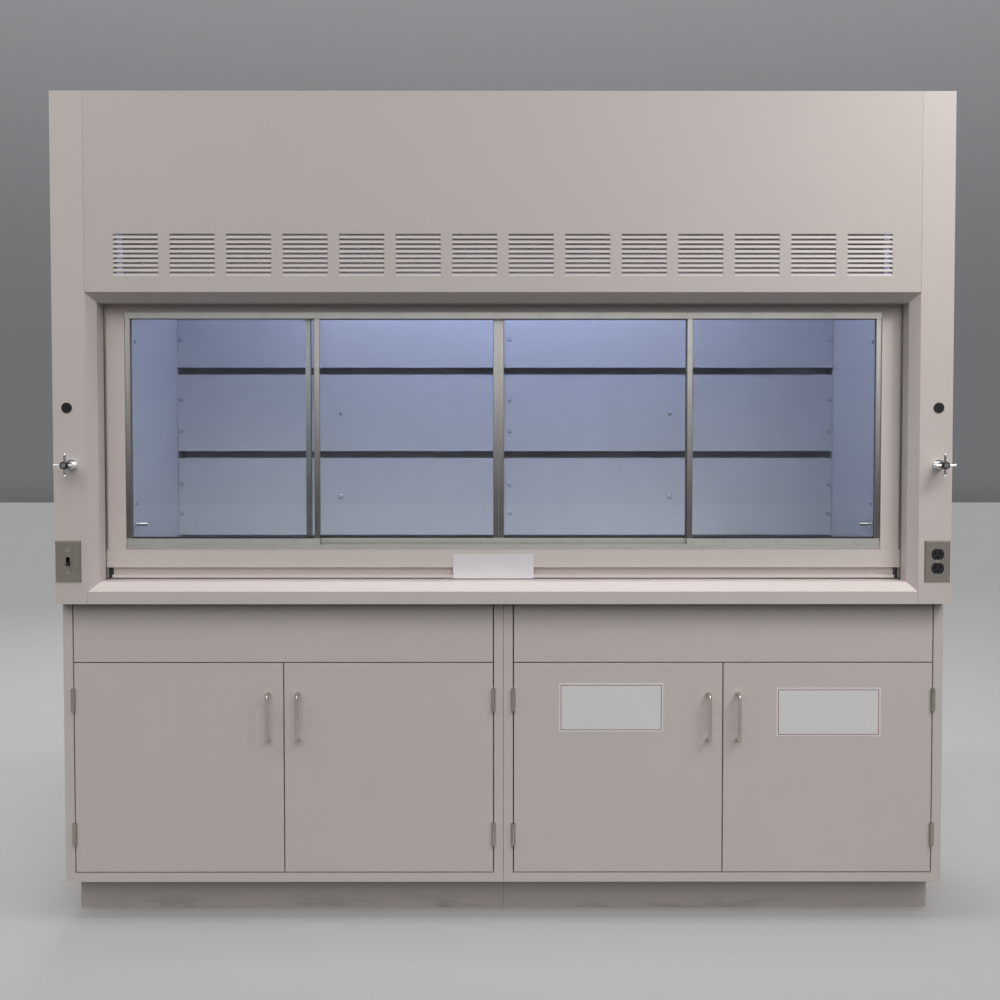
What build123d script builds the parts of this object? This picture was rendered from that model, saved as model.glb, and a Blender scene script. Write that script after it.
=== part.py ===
from build123d import *
import os

# Bench fume hood: a superstructure with a vertical sash of four sliding panes, on two base cabinets.
# Millimetres, +Z up, front facing -Y, X = 0 in the middle and Z = 0 on the floor. "Depth" is the
# distance behind the front face of the posts, which stands at Y = FRONT.

# Overall size
WIDTH = 2438
HEIGHT = 2273
DEPTH = 813
BENCH = 889
HANDLE_REACH = 60
HALF = WIDTH / 2
FRONT = (HANDLE_REACH - DEPTH) / 2

# Sheet thicknesses
SHEET = 1.5
THIN = 1.2
LINER = 6

# Front frame: posts, header and sill, mitred where their bevels meet
POST_EDGE = 1130
BEVEL = 24
RETURN_EDGE = POST_EDGE - BEVEL
HEADER_BOTTOM = 1735
SILL_FACE = 923
SILL_TOP = SILL_FACE + BEVEL
MITRE_GAP = 0.3
FIXTURE_X = 1181
VALVE_X = {-1: 1169, 1: 1181}
PLUG_Z = 1423
VALVE_Z = 1268
PLATE_Z = 1006

# Louvres in the header: each is a slit over a flap of the sheet, pushed in at its top
LOUVRE_PITCH = 152.4
LOUVRE_COUNT = 14
LOUVRE_LENGTH = 121
LOUVRE_ROWS = 9
ROW_PITCH = 12.7
ROW_MIDDLE = 1838
SLIT_HEIGHT = 5
FLAP_RISE = 6.2
FLAP_SET_IN = 2

# Chamber
WORKTOP = 921
CHAMBER_X = 1085
CHAMBER_FRONT = 124
BAFFLE_DEPTH = 680
BACK_DEPTH = 765
CEILING = 2150
BAFFLE_ROWS = ((1020, 1275), (1298, 1551), (1574, 2140))
STUD_X = 546
STUD_ROWS = (1147, 1425)
EDGE_STUD_ROWS = (1093, 1189, 1365, 1468, 1667)
COLLAR_X = 600
COLLAR_DEPTH = 560
COLLAR_RADIUS = 127
COLLAR_TOP = 2270
LIGHT_X = 610
LIGHT_DEPTH = (190, 330)

# Sash
STILE = (1050, 1099)
SASH_DEPTH = (75, 114)
RAIL_BOTTOM = 981
RAIL_TOP = 1030
SASH_TOP = 1745
TRACK_TOP = 1689
TRACK_LIP = 15
SHOE = 28
PANE_WIDTH = 538
PANE_TRIM = 12
PANE_EDGE = 14
GLASS = 5
PANE_BOTTOM = RAIL_TOP + 3.5
PANE_TOP = TRACK_TOP - 4.5
WINDOW_TOP = 1672
FRONT_TRACK = 85.75
REAR_TRACK = 102.25
PANES = ((-1049.5, FRONT_TRACK), (-552, REAR_TRACK), (-13.5, REAR_TRACK), (511.5, FRONT_TRACK))
HANDLE_X = 1090
HANDLE_Z = 951

# Counterbalance
CABLE_X = 1150
CABLE_RADIUS = 1.5
SHEAVE_RADIUS = 35
SHEAVE_Z = 2228
FRONT_SHEAVE = 152
REAR_SHEAVE = 502
SHAFT_RADIUS = 8
SHAFT_CLEARANCE = 0.05
ARM_TOP = 1735
WEIGHT_TOP = 2150
WEIGHT = (44, 90, 640)

# Base cabinets
CABINET_FRONT = 51
CABINET_DEPTH = 559
CABINET_BACK = CABINET_FRONT + CABINET_DEPTH
CABINET_TOP = 887
PLINTH = 104
PLINTH_INSET = 12
TOE_SPACE = 76
SEAM = 0.5
STILE_INNER = (26, 1193)
GAP = 3
DOOR_Z = (132, 717)
APRON_Z = (720, 884)
DOOR_DEPTH = 19
DOOR_SPLIT = 609.5
SHELF_Z = 420
PULL_OFFSET = 41
PULL_Z = 570
PULL_SPAN = 128
PULL_RADIUS = 4.75
PULL_STANDOFF = 31

# Hinges
HINGE_ROWS = (240, 616)
HINGE_HEIGHT = 63.5
KNUCKLES = 5
KNUCKLE_GAP = 0.3
KNUCKLE_RADIUS = 5.5
PIN_RADIUS = 2.5
PIN_CLEARANCE = 0.05
PIN_PROUD = 5.9
LEAF = 1.2

os.makedirs("parts", exist_ok=True)


def span(low, high, side):
    """Returns a span of X on the right, or its mirror on the left when side is -1."""
    return (low, high) if side > 0 else (-high, -low)


def block(x, depth, z, mode=Mode.ADD):
    """Adds a box to the open part from its spans of X, of depth behind the front, and of Z."""
    with Locations((sum(x) / 2, FRONT + sum(depth) / 2, sum(z) / 2)):
        Box(x[1] - x[0], depth[1] - depth[0], z[1] - z[0], mode=mode)


def bar(axis, x, depth, z, radius, length, mode=Mode.ADD):
    """Adds a round bar along the named axis, with its middle at the given place."""
    turn = {"X": (0, 90, 0), "Y": (90, 0, 0), "Z": (0, 0, 0)}[axis]
    with Locations(Location((x, FRONT + depth, z), turn)):
        Cylinder(radius, length, mode=mode)


def side_plane(x):
    """Returns the plane at x whose own axes are depth and Z, facing +X."""
    return Plane(origin=(x, FRONT, 0), x_dir=(0, 1, 0), z_dir=(1, 0, 0))


def floor_plane(z):
    """Returns the plane at height z whose own axes are X and depth, facing up."""
    return Plane(origin=(0, FRONT, z), x_dir=(1, 0, 0), z_dir=(0, 0, 1))


def folded_sheet(plane, points, thickness, length, bend=0):
    """Adds a sheet folded along the points, thickened to their left and extruded off the plane."""
    with BuildSketch(plane) as section:
        with BuildLine():
            if bend:
                FilletPolyline(*points, radius=bend)
            else:
                Polyline(*points)
            offset(amount=thickness, side=Side.LEFT, kind=Kind.INTERSECTION)
        make_face()
    extrude(section.sketch, amount=length)


def bent_rod(plane, points, bend, radius):
    """Adds a round rod that follows the points, with rounded bends."""
    with BuildLine(plane) as route:
        FilletPolyline(*points, radius=bend)
    with BuildSketch(Plane(origin=route.line @ 0, z_dir=route.line % 0)) as section:
        Circle(radius)
    sweep(sections=section.sketch, path=route.line)


def mitre(side, rise):
    """Returns the vertical cutting plane of a corner; its normal points away from the cross member."""
    corner = HEADER_BOTTOM if rise > 0 else SILL_FACE
    return Plane(origin=(side * POST_EDGE, 0, corner), x_dir=(0, 1, 0), z_dir=(side, 0, -rise))


def shifted(plane, distance):
    """Returns the plane moved along its own normal."""
    return plane.offset(distance)


# ---------------------------------------------------------------- posts
def post(side):
    """Builds one front post: flat face, bevel and return, with holes for its fixtures."""
    with BuildPart() as piece:
        outline = ((RETURN_EDGE, 72), (RETURN_EDGE, BEVEL), (POST_EDGE, 0), (HALF, 0), (HALF, 25))
        folded_sheet(floor_plane(BENCH), outline, SHEET, HEIGHT - BENCH)
        split(bisect_by=shifted(mitre(1, 1), MITRE_GAP), keep=Keep.TOP)
        split(bisect_by=shifted(mitre(1, -1), MITRE_GAP), keep=Keep.TOP)
        block((POST_EDGE + MITRE_GAP, HALF), (0, SHEET), (BENCH, HEIGHT))
        block((HALF - SHEET, HALF), (0, 25), (BENCH, HEIGHT))
        bar("Y", FIXTURE_X, 0, PLUG_Z, 12.5, 8, mode=Mode.SUBTRACT)
        bar("Y", VALVE_X[side], 0, VALVE_Z, 10.5, 8, mode=Mode.SUBTRACT)
        block((FIXTURE_X - 26, FIXTURE_X + 26), (-2, 2), (PLATE_Z - 40, PLATE_Z + 40), mode=Mode.SUBTRACT)
        if side < 0:
            mirror(about=Plane.YZ, mode=Mode.REPLACE)
    return piece


left_post = post(-1)
left_post.part.label = "left_post"
export_step(left_post.part, "parts/left_post.step")

right_post = post(1)
right_post.part.label = "right_post"
export_step(right_post.part, "parts/right_post.step")

# ---------------------------------------------------------------- header with its louvres
with BuildPart() as header_panel:
    profile = ((25, HEIGHT), (0, HEIGHT), (0, HEADER_BOTTOM), (25, HEADER_BOTTOM - 25))
    profile += ((70, HEADER_BOTTOM - 25), (70, HEADER_BOTTOM - 13))
    folded_sheet(side_plane(MITRE_GAP - POST_EDGE), profile, SHEET, 2 * (POST_EDGE - MITRE_GAP))
    for end in (-1, 1):
        split(bisect_by=shifted(mitre(end, 1), -MITRE_GAP), keep=Keep.BOTTOM)
    with BuildSketch(Plane.XZ.offset(-FRONT + 5)):
        with Locations((0, ROW_MIDDLE - FLAP_RISE / 2)):
            with GridLocations(LOUVRE_PITCH, ROW_PITCH, LOUVRE_COUNT, LOUVRE_ROWS):
                Rectangle(LOUVRE_LENGTH, SLIT_HEIGHT + FLAP_RISE)
    extrude(amount=-10, mode=Mode.SUBTRACT)
    for column in range(LOUVRE_COUNT):
        middle = (column - (LOUVRE_COUNT - 1) / 2) * LOUVRE_PITCH
        with BuildSketch(side_plane(middle - LOUVRE_LENGTH / 2)):
            for row in range(LOUVRE_ROWS):
                slit = ROW_MIDDLE + (row - (LOUVRE_ROWS - 1) / 2) * ROW_PITCH - SLIT_HEIGHT / 2
                foot = slit - FLAP_RISE
                back = FLAP_SET_IN + SHEET
                Polygon((0, foot), (SHEET, foot), (back, slit), (FLAP_SET_IN, slit), align=None)
        extrude(amount=LOUVRE_LENGTH)
header_panel.part.label = "header_panel"
export_step(header_panel.part, "parts/header_panel.step")

# ---------------------------------------------------------------- sill
with BuildPart() as sill:
    profile = ((118, WORKTOP + 0.5), (118, SILL_TOP), (BEVEL, SILL_TOP), (0, SILL_FACE), (0, BENCH))
    profile += ((12, BENCH),)
    folded_sheet(side_plane(MITRE_GAP - POST_EDGE), profile, 2, 2 * (POST_EDGE - MITRE_GAP))
    for end in (-1, 1):
        split(bisect_by=shifted(mitre(end, -1), -MITRE_GAP), keep=Keep.BOTTOM)
sill.part.label = "sill"
export_step(sill.part, "parts/sill.step")

# ---------------------------------------------------------------- outer side panels
with BuildPart() as side_panels:
    for side in (-1, 1):
        block(span(HALF - SHEET, HALF, side), (25.3, DEPTH), (BENCH, HEIGHT))
        block(span(HALF - 12, HALF - SHEET, side), (DEPTH - SHEET, DEPTH), (BENCH, HEIGHT))
        block(span(HALF - 12, HALF - SHEET, side), (25.3, DEPTH - SHEET), (HEIGHT - SHEET, HEIGHT))
side_panels.part.label = "side_panels"
export_step(side_panels.part, "parts/side_panels.step")

# ---------------------------------------------------------------- steel frame with the sheave brackets
TUBE = 40
TUBE_WALL = 2
FRAME_X = (1175, 1215)
FRAME_TOP = 2190
REAR_FRAME = (771.5, 811)
REAR_RAILS = (930, 1500, 2150)
WELD_GAP = 0.5


def square_tube(axis, x, depth, z):
    """Adds a hollow tube that fills the box given and is open at both ends along its axis."""
    block(x, depth, z)
    wall = TUBE_WALL
    inner = {
        "X": (x, (depth[0] + wall, depth[1] - wall), (z[0] + wall, z[1] - wall)),
        "Y": ((x[0] + wall, x[1] - wall), depth, (z[0] + wall, z[1] - wall)),
        "Z": ((x[0] + wall, x[1] - wall), (depth[0] + wall, depth[1] - wall), z),
    }[axis]
    block(*inner, mode=Mode.SUBTRACT)


def sheave_bracket(side, depth):
    """Adds two cheeks on a base that carry a sheave's shaft, standing off the side rail."""
    reach = (depth - 22, depth + 22)
    block(span(1130, FRAME_X[0], side), reach, (2165, 2173))
    for cheek in ((1130, 1135), (1165, 1170)):
        block(span(*cheek, side), reach, (2165, SHEAVE_Z + 18))
    bar("X", side * CABLE_X, depth, SHEAVE_Z, SHAFT_RADIUS + SHAFT_CLEARANCE, 50, mode=Mode.SUBTRACT)


with BuildPart() as top_frame:
    square_tube("X", (-1128, 1128), (20, 60), (2215, 2255))
    for rail in REAR_RAILS:
        square_tube("X", (WELD_GAP - FRAME_X[0], FRAME_X[0] - WELD_GAP), REAR_FRAME, (rail, rail + TUBE))
    for side in (-1, 1):
        post_x = span(*FRAME_X, side)
        square_tube("Z", post_x, (75, 75 + TUBE), (WORKTOP, FRAME_TOP + TUBE))
        square_tube("Z", post_x, REAR_FRAME, (BENCH, FRAME_TOP + TUBE))
        rail_depth = (75 + TUBE + WELD_GAP, REAR_FRAME[0] - WELD_GAP)
        square_tube("Y", post_x, rail_depth, (FRAME_TOP - TUBE, FRAME_TOP))
        for sheave in (FRONT_SHEAVE, REAR_SHEAVE):
            sheave_bracket(side, sheave)
top_frame.part.label = "top_frame"
export_step(top_frame.part, "parts/top_frame.step")

# ---------------------------------------------------------------- chamber linings
OUTLET = (265, 1088)
OUTLET_HOLE = 9


def liner(side):
    """Builds one side liner of the chamber, with the hole of its service outlet."""
    with BuildPart() as piece:
        block(span(CHAMBER_X, CHAMBER_X + LINER, side), (CHAMBER_FRONT, BACK_DEPTH), (WORKTOP, CEILING))
        bar("X", side * (CHAMBER_X + 3), *OUTLET, OUTLET_HOLE, 20, mode=Mode.SUBTRACT)
    return piece


left_liner = liner(-1)
left_liner.part.label = "left_liner"
export_step(left_liner.part, "parts/left_liner.step")

right_liner = liner(1)
right_liner.part.label = "right_liner"
export_step(right_liner.part, "parts/right_liner.step")

LINER_X = (-CHAMBER_X - LINER, CHAMBER_X + LINER)

with BuildPart() as rear_liner:
    block(LINER_X, (BACK_DEPTH, BACK_DEPTH + LINER), (WORKTOP, CEILING))
rear_liner.part.label = "rear_liner"
export_step(rear_liner.part, "parts/rear_liner.step")

CEILING_SPAN = (CEILING, CEILING + LINER)
DROP_PANEL = (128, 134)

with BuildPart() as ceiling_liner:
    block(LINER_X, (DROP_PANEL[0], BACK_DEPTH + LINER), CEILING_SPAN)
    block((-1070, 1070), DROP_PANEL, (1792, CEILING))
    lit_depth = (LIGHT_DEPTH[0] + 12, LIGHT_DEPTH[1] - 12)
    block((-LIGHT_X + 12, LIGHT_X - 12), lit_depth, CEILING_SPAN, Mode.SUBTRACT)
    for side in (-1, 1):
        bar("Z", side * COLLAR_X, COLLAR_DEPTH, CEILING, COLLAR_RADIUS - SHEET, 40, mode=Mode.SUBTRACT)
ceiling_liner.part.label = "ceiling_liner"
export_step(ceiling_liner.part, "parts/ceiling_liner.step")

COLLAR_BASE = CEILING + LINER + 0.2
COLLAR_FLANGE = 150

with BuildPart() as exhaust_collars:
    for side in (-1, 1):
        collar_middle = (COLLAR_BASE + COLLAR_TOP) / 2
        collar_height = COLLAR_TOP - COLLAR_BASE
        bar("Z", side * COLLAR_X, COLLAR_DEPTH, collar_middle, COLLAR_RADIUS, collar_height)
        bar("Z", side * COLLAR_X, COLLAR_DEPTH, COLLAR_BASE + SHEET / 2, COLLAR_FLANGE, SHEET)
        bore = COLLAR_RADIUS - SHEET
        bar("Z", side * COLLAR_X, COLLAR_DEPTH, collar_middle, bore, collar_height, mode=Mode.SUBTRACT)
exhaust_collars.part.label = "exhaust_collars"
export_step(exhaust_collars.part, "parts/exhaust_collars.step")

# ---------------------------------------------------------------- baffles, their stand-offs and caps
with BuildPart() as baffle_panels:
    for side in (-1, 1):
        for row in BAFFLE_ROWS:
            block(span(0.5, CHAMBER_X - 1, side), (BAFFLE_DEPTH, BAFFLE_DEPTH + LINER), row)
baffle_panels.part.label = "baffle_panels"
export_step(baffle_panels.part, "parts/baffle_panels.step")

CAP_RADIUS = 8
CAP_HEIGHT = 5


def baffle_fixing(x, z):
    """Adds a stand-off behind a baffle and its domed cap in front."""
    behind = (BAFFLE_DEPTH + LINER, BACK_DEPTH)
    bar("Y", x, sum(behind) / 2, z, 6, behind[1] - behind[0])
    with Locations(Location((x, FRONT + BAFFLE_DEPTH, z), (90, 0, 0))):
        Cone(CAP_RADIUS, CAP_RADIUS - 3, CAP_HEIGHT, align=(Align.CENTER, Align.CENTER, Align.MIN))


def liner_cap(side, depth, z):
    """Adds a domed fastener cap on the inner face of a side liner."""
    with Locations(Location((side * CHAMBER_X, FRONT + depth, z), (0, -90 * side, 0))):
        Cone(7, 5, 4, align=(Align.CENTER, Align.CENTER, Align.MIN))


with BuildPart() as baffle_fixings:
    for side in (-1, 1):
        for row in STUD_ROWS:
            baffle_fixing(side * STUD_X, row)
        for row in EDGE_STUD_ROWS:
            baffle_fixing(side * (CHAMBER_X - 11), row)
            baffle_fixing(side * 14, row)
        for row in (1150, 1624):
            liner_cap(side, OUTLET[0], row)
baffle_fixings.part.label = "baffle_fixings"
export_step(baffle_fixings.part, "parts/baffle_fixings.step")

# ---------------------------------------------------------------- work surface with its dish
DISH_X = 1055
DISH_DEPTH = (155, 650)
DISH_DROP = 8

with BuildPart() as work_surface:
    block((-HALF + 3, HALF - 3), (14, BACK_DEPTH - 1), (BENCH, WORKTOP))
    for side in (-1, 1):
        block(span(FRAME_X[0] - 1, HALF, side), (74, 116), (WORKTOP - 1, WORKTOP + 1), Mode.SUBTRACT)
    with BuildSketch(floor_plane(WORKTOP)) as dish:
        with Locations((0, sum(DISH_DEPTH) / 2)):
            RectangleRounded(2 * DISH_X, DISH_DEPTH[1] - DISH_DEPTH[0], radius=25)
    extrude(amount=-DISH_DROP, taper=45, mode=Mode.SUBTRACT)
work_surface.part.label = "work_surface"
export_step(work_surface.part, "parts/work_surface.step")

# ---------------------------------------------------------------- ceiling light
LIGHT_BASE = CEILING + LINER + 0.2
LIGHT_TOP = 2245
TUBE_RADIUS = 13

with BuildPart() as light_housing:
    block((-LIGHT_X, LIGHT_X), LIGHT_DEPTH, (LIGHT_BASE, LIGHT_TOP))
    inside = (LIGHT_DEPTH[0] + THIN, LIGHT_DEPTH[1] - THIN)
    block((THIN - LIGHT_X, LIGHT_X - THIN), inside, (LIGHT_BASE, LIGHT_TOP - THIN), mode=Mode.SUBTRACT)
    for side in (-1, 1):
        block(span(LIGHT_X - 8, LIGHT_X - THIN, side), inside, (LIGHT_BASE + 25, LIGHT_BASE + 65))
light_housing.part.label = "light_housing"
export_step(light_housing.part, "parts/light_housing.step")

with BuildPart() as light_lens:
    block((3 - LIGHT_X, LIGHT_X - 3), (LIGHT_DEPTH[0] + 3, LIGHT_DEPTH[1] - 3), (LIGHT_BASE, LIGHT_BASE + 6))
light_lens.part.label = "light_lens"
export_step(light_lens.part, "parts/light_lens.step")

with BuildPart() as light_tubes:
    for depth in (LIGHT_DEPTH[0] + 42, LIGHT_DEPTH[1] - 42):
        bar("X", 0, depth, LIGHT_BASE + 45, TUBE_RADIUS, 2 * (LIGHT_X - 8))
light_tubes.part.label = "light_tubes"
export_step(light_tubes.part, "parts/light_tubes.step")

# ---------------------------------------------------------------- services on the posts
STEM_RADIUS = 4
BONNET_RADIUS = 10
STEM_END = -50

with BuildPart() as service_fittings:
    for side in (-1, 1):
        valve_x = side * VALVE_X[side]
        bar("Y", valve_x, 6, VALVE_Z, BONNET_RADIUS, 64)
        bar("Y", valve_x, -2.5, VALVE_Z, 15, 5)
        bar("Y", valve_x, -38, VALVE_Z, STEM_RADIUS, 24)
        with Locations(Location((side * (CHAMBER_X - 2), FRONT + OUTLET[0], OUTLET[1]), (0, 90, 0))):
            Cylinder(14, 4)
        bar("X", side * (CHAMBER_X + 8), *OUTLET, OUTLET_HOLE - 0.5, 24)
        bar("X", side * (CHAMBER_X - 20), *OUTLET, 5, 36)
        for ring in (14, 20, 26, 32):
            place = (side * (CHAMBER_X - ring), FRONT + OUTLET[0], OUTLET[1])
            with Locations(Location(place, (0, -90 * side, 0))):
                Cone(6.5, 5, 5)
service_fittings.part.label = "service_fittings"
export_step(service_fittings.part, "parts/service_fittings.step")

ARM_LENGTH = 28
KNOB_RADIUS = 4.5


def valve_handle(side):
    """Builds a four-arm handle that turns on the stem of one service valve."""
    with BuildPart() as piece:
        x = side * VALVE_X[side]
        bar("Y", x, -49, VALVE_Z, BONNET_RADIUS, 22)
        fillet(piece.edges().group_by(Axis.Y)[0], radius=3)
        bar("X", x, -48, VALVE_Z, 3.5, 2 * ARM_LENGTH)
        bar("Z", x, -48, VALVE_Z, 3.5, 2 * ARM_LENGTH)
        for across, up in ((-1, 0), (1, 0), (0, -1), (0, 1)):
            with Locations((x + across * ARM_LENGTH, FRONT - 48, VALVE_Z + up * ARM_LENGTH)):
                Sphere(KNOB_RADIUS)
        bar("Y", x, -42, VALVE_Z, STEM_RADIUS + SHAFT_CLEARANCE, 18, mode=Mode.SUBTRACT)
    return piece


left_valve_handle = valve_handle(-1)
left_valve_handle.part.label = "left_valve_handle"
export_step(left_valve_handle.part, "parts/left_valve_handle.step")

right_valve_handle = valve_handle(1)
right_valve_handle.part.label = "right_valve_handle"
export_step(right_valve_handle.part, "parts/right_valve_handle.step")

with BuildPart() as hole_plugs:
    for side in (-1, 1):
        bar("Y", side * FIXTURE_X, -1.5, PLUG_Z, 14.25, 3)
        bar("Y", side * FIXTURE_X, 5, PLUG_Z, 12, 10)
    fillet(hole_plugs.edges().filter_by(GeomType.CIRCLE).group_by(Axis.Y)[0], radius=1.5)
hole_plugs.part.label = "hole_plugs"
export_step(hole_plugs.part, "parts/hole_plugs.step")

# ---------------------------------------------------------------- switch, receptacle and their plates
PLATE_SIZE = (70, 114.3)
PLATE_DEPTH = 5
OUTLET_RISE = 19.05
TOGGLE_SLOT = (10.5, 24)
SCREW_SPACING = 60.3
SCREW_HOLE = 1.9


def receptacle_faces(radius, height, near, far, mode=Mode.ADD):
    """Adds the two round faces with flat tops of a duplex receptacle, between two depths."""
    with BuildSketch(Plane.XZ.offset(-FRONT - near)) as faces:
        for rise in (-OUTLET_RISE, OUTLET_RISE):
            with Locations((FIXTURE_X, PLATE_Z + rise)):
                Circle(radius)
        for rise in (-OUTLET_RISE, OUTLET_RISE):
            for edge in (-1, 1):
                with Locations((FIXTURE_X, PLATE_Z + rise + edge * (height / 2 + 3))):
                    Rectangle(2 * radius, 6, mode=Mode.SUBTRACT)
    extrude(faces.sketch, amount=near - far, mode=mode)


with BuildPart() as cover_plates:
    for side in (-1, 1):
        plate_x = span(FIXTURE_X - PLATE_SIZE[0] / 2, FIXTURE_X + PLATE_SIZE[0] / 2, side)
        plate_z = (PLATE_Z - PLATE_SIZE[1] / 2, PLATE_Z + PLATE_SIZE[1] / 2)
        block(plate_x, (-PLATE_DEPTH, 0), plate_z)
    chamfer(cover_plates.faces().sort_by(Axis.Y)[:2].edges(), length=4)
    for side in (-1, 1):
        hollow_x = span(FIXTURE_X - 29, FIXTURE_X + 29, side)
        block(hollow_x, (-PLATE_DEPTH + THIN, 0), (PLATE_Z - 51, PLATE_Z + 51), mode=Mode.SUBTRACT)
    slot_x = (-FIXTURE_X - TOGGLE_SLOT[0] / 2, -FIXTURE_X + TOGGLE_SLOT[0] / 2)
    slot_z = (PLATE_Z - TOGGLE_SLOT[1] / 2, PLATE_Z + TOGGLE_SLOT[1] / 2)
    block(slot_x, (-PLATE_DEPTH - 1, 0), slot_z, mode=Mode.SUBTRACT)
    receptacle_faces(17.5, 29, -PLATE_DEPTH - 1, 1, mode=Mode.SUBTRACT)
    screw_places = ((-FIXTURE_X, -SCREW_SPACING / 2), (-FIXTURE_X, SCREW_SPACING / 2), (FIXTURE_X, 0))
    for x, rise in screw_places:
        bar("Y", x, -PLATE_DEPTH, PLATE_Z + rise, SCREW_HOLE, 10, mode=Mode.SUBTRACT)
cover_plates.part.label = "cover_plates"
export_step(cover_plates.part, "parts/cover_plates.step")

BLADES = ((-6.4, 4, 8), (6.4, 4, 9.5))

with BuildPart() as wiring_devices:
    for side in (-1, 1):
        block(span(FIXTURE_X - 17, FIXTURE_X + 17, side), (-3.5, 34), (PLATE_Z - 36, PLATE_Z + 36))
    receptacle_faces(17, 28.4, -PLATE_DEPTH - 0.8, -3.5)
    for rise in (-OUTLET_RISE, OUTLET_RISE):
        for x, up, tall in BLADES:
            blade_x = (FIXTURE_X + x - 1.1, FIXTURE_X + x + 1.1)
            blade_z = (PLATE_Z + rise + up - tall / 2, PLATE_Z + rise + up + tall / 2)
            block(blade_x, (-8, 8), blade_z, mode=Mode.SUBTRACT)
        bar("Y", FIXTURE_X, 0, PLATE_Z + rise - 8, 2.5, 16, mode=Mode.SUBTRACT)
    block(slot_x, (-4, 22), slot_z, mode=Mode.SUBTRACT)
    for x, rise in screw_places:
        bar("Y", x, 0, PLATE_Z + rise, SCREW_HOLE, 20, mode=Mode.SUBTRACT)
wiring_devices.part.label = "wiring_devices"
export_step(wiring_devices.part, "parts/wiring_devices.step")

with BuildPart() as plate_screws:
    for x, rise in screw_places:
        bar("Y", x, -PLATE_DEPTH - 0.75, PLATE_Z + rise, 3.6, 1.5)
        bar("Y", x, 0, PLATE_Z + rise, 1.7, 13)
    for x, rise in screw_places:
        slot_cut = (PLATE_Z + rise - 4, PLATE_Z + rise + 4)
        block((x - 0.5, x + 0.5), (-PLATE_DEPTH - 2, -PLATE_DEPTH - 0.7), slot_cut, mode=Mode.SUBTRACT)
plate_screws.part.label = "plate_screws"
export_step(plate_screws.part, "parts/plate_screws.step")

TOGGLE_TILT = 20
TOGGLE_PIVOT = 8

with BuildPart() as switch_toggle:
    with BuildSketch(Plane.YZ.offset(-FIXTURE_X - 4)) as lever:
        with Locations(Location((FRONT + TOGGLE_PIVOT, PLATE_Z), TOGGLE_TILT)):
            Circle(4)
            Polygon((0, 4), (0, -4), (-21, -2.6), (-21, 2.6), align=None)
            with Locations((-21, 0)):
                Circle(2.6)
    extrude(amount=8)
    fillet(switch_toggle.edges().filter_by(GeomType.CIRCLE).group_by(Axis.Y)[0], radius=0.8)
switch_toggle.part.label = "switch_toggle"
export_step(switch_toggle.part, "parts/switch_toggle.step")

# ---------------------------------------------------------------- sash guides
GUIDE_X = (1101, 1127)
GUIDE_DEPTH = (80, 112)

with BuildPart() as sash_guides:
    for side in (-1, 1):
        block(span(*GUIDE_X, side), GUIDE_DEPTH, (SILL_TOP + 3, 2240))
        inner = (GUIDE_DEPTH[0] + 2, GUIDE_DEPTH[1] - 2)
        block(span(GUIDE_X[0], GUIDE_X[1] - 2, side), inner, (SILL_TOP + 3, 2240), mode=Mode.SUBTRACT)
sash_guides.part.label = "sash_guides"
export_step(sash_guides.part, "parts/sash_guides.step")

# ---------------------------------------------------------------- sash frame
WALL = 1.2
TONGUE = (94, 98)
GLIDE = (83, 109)
GLIDE_ROWS = (1040, 1680)


def hollow_bar(axis, x, depth, z):
    """Adds a thin-walled sash member that is open at both ends along its axis."""
    block(x, depth, z)
    inner_depth = (depth[0] + WALL, depth[1] - WALL)
    if axis == "X":
        block(x, inner_depth, (z[0] + WALL, z[1] - WALL), mode=Mode.SUBTRACT)
    else:
        block((x[0] + WALL, x[1] - WALL), inner_depth, z, mode=Mode.SUBTRACT)


with BuildPart() as sash_frame:
    hollow_bar("X", (-STILE[1], STILE[1]), SASH_DEPTH, (RAIL_BOTTOM, RAIL_TOP))
    hollow_bar("X", (-STILE[0] + 0.2, STILE[0] - 0.2), SASH_DEPTH, (TRACK_TOP + 0.2, SASH_TOP))
    for side in (-1, 1):
        block(span(STILE[1], 1105, side), (SASH_DEPTH[0], SASH_DEPTH[0] + 3), (RAIL_BOTTOM, RAIL_TOP))
        hollow_bar("Z", span(*STILE, side), SASH_DEPTH, (RAIL_TOP + 0.1, SASH_TOP))
        block(span(STILE[1], STILE[1] + 21, side), TONGUE, (RAIL_TOP + 0.1, SASH_TOP))
        for row in GLIDE_ROWS:
            block(span(STILE[1] + 4, STILE[1] + 24, side), GLIDE, (row, row + 60))
        arm_depth = (SASH_DEPTH[1], SASH_DEPTH[1] + 4)
        block(span(STILE[0] + 10, CABLE_X + 6, side), arm_depth, (ARM_TOP - 20, ARM_TOP))
sash_frame.part.label = "sash_frame"
export_step(sash_frame.part, "parts/sash_frame.step")

with BuildPart() as sash_handle:
    profile = ((90, RAIL_BOTTOM - 0.1), (90, HANDLE_Z), (77, HANDLE_Z), (77, HANDLE_Z + 9))
    folded_sheet(side_plane(-HANDLE_X), profile[::-1], 2, 2 * HANDLE_X, bend=3)
sash_handle.part.label = "sash_handle"
export_step(sash_handle.part, "parts/sash_handle.step")

# ---------------------------------------------------------------- pane tracks
TRACK_DEPTH = (77, 111.5)
TRACK_LIPS = (77, 93.25, 110)
LIP = 1.5

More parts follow.
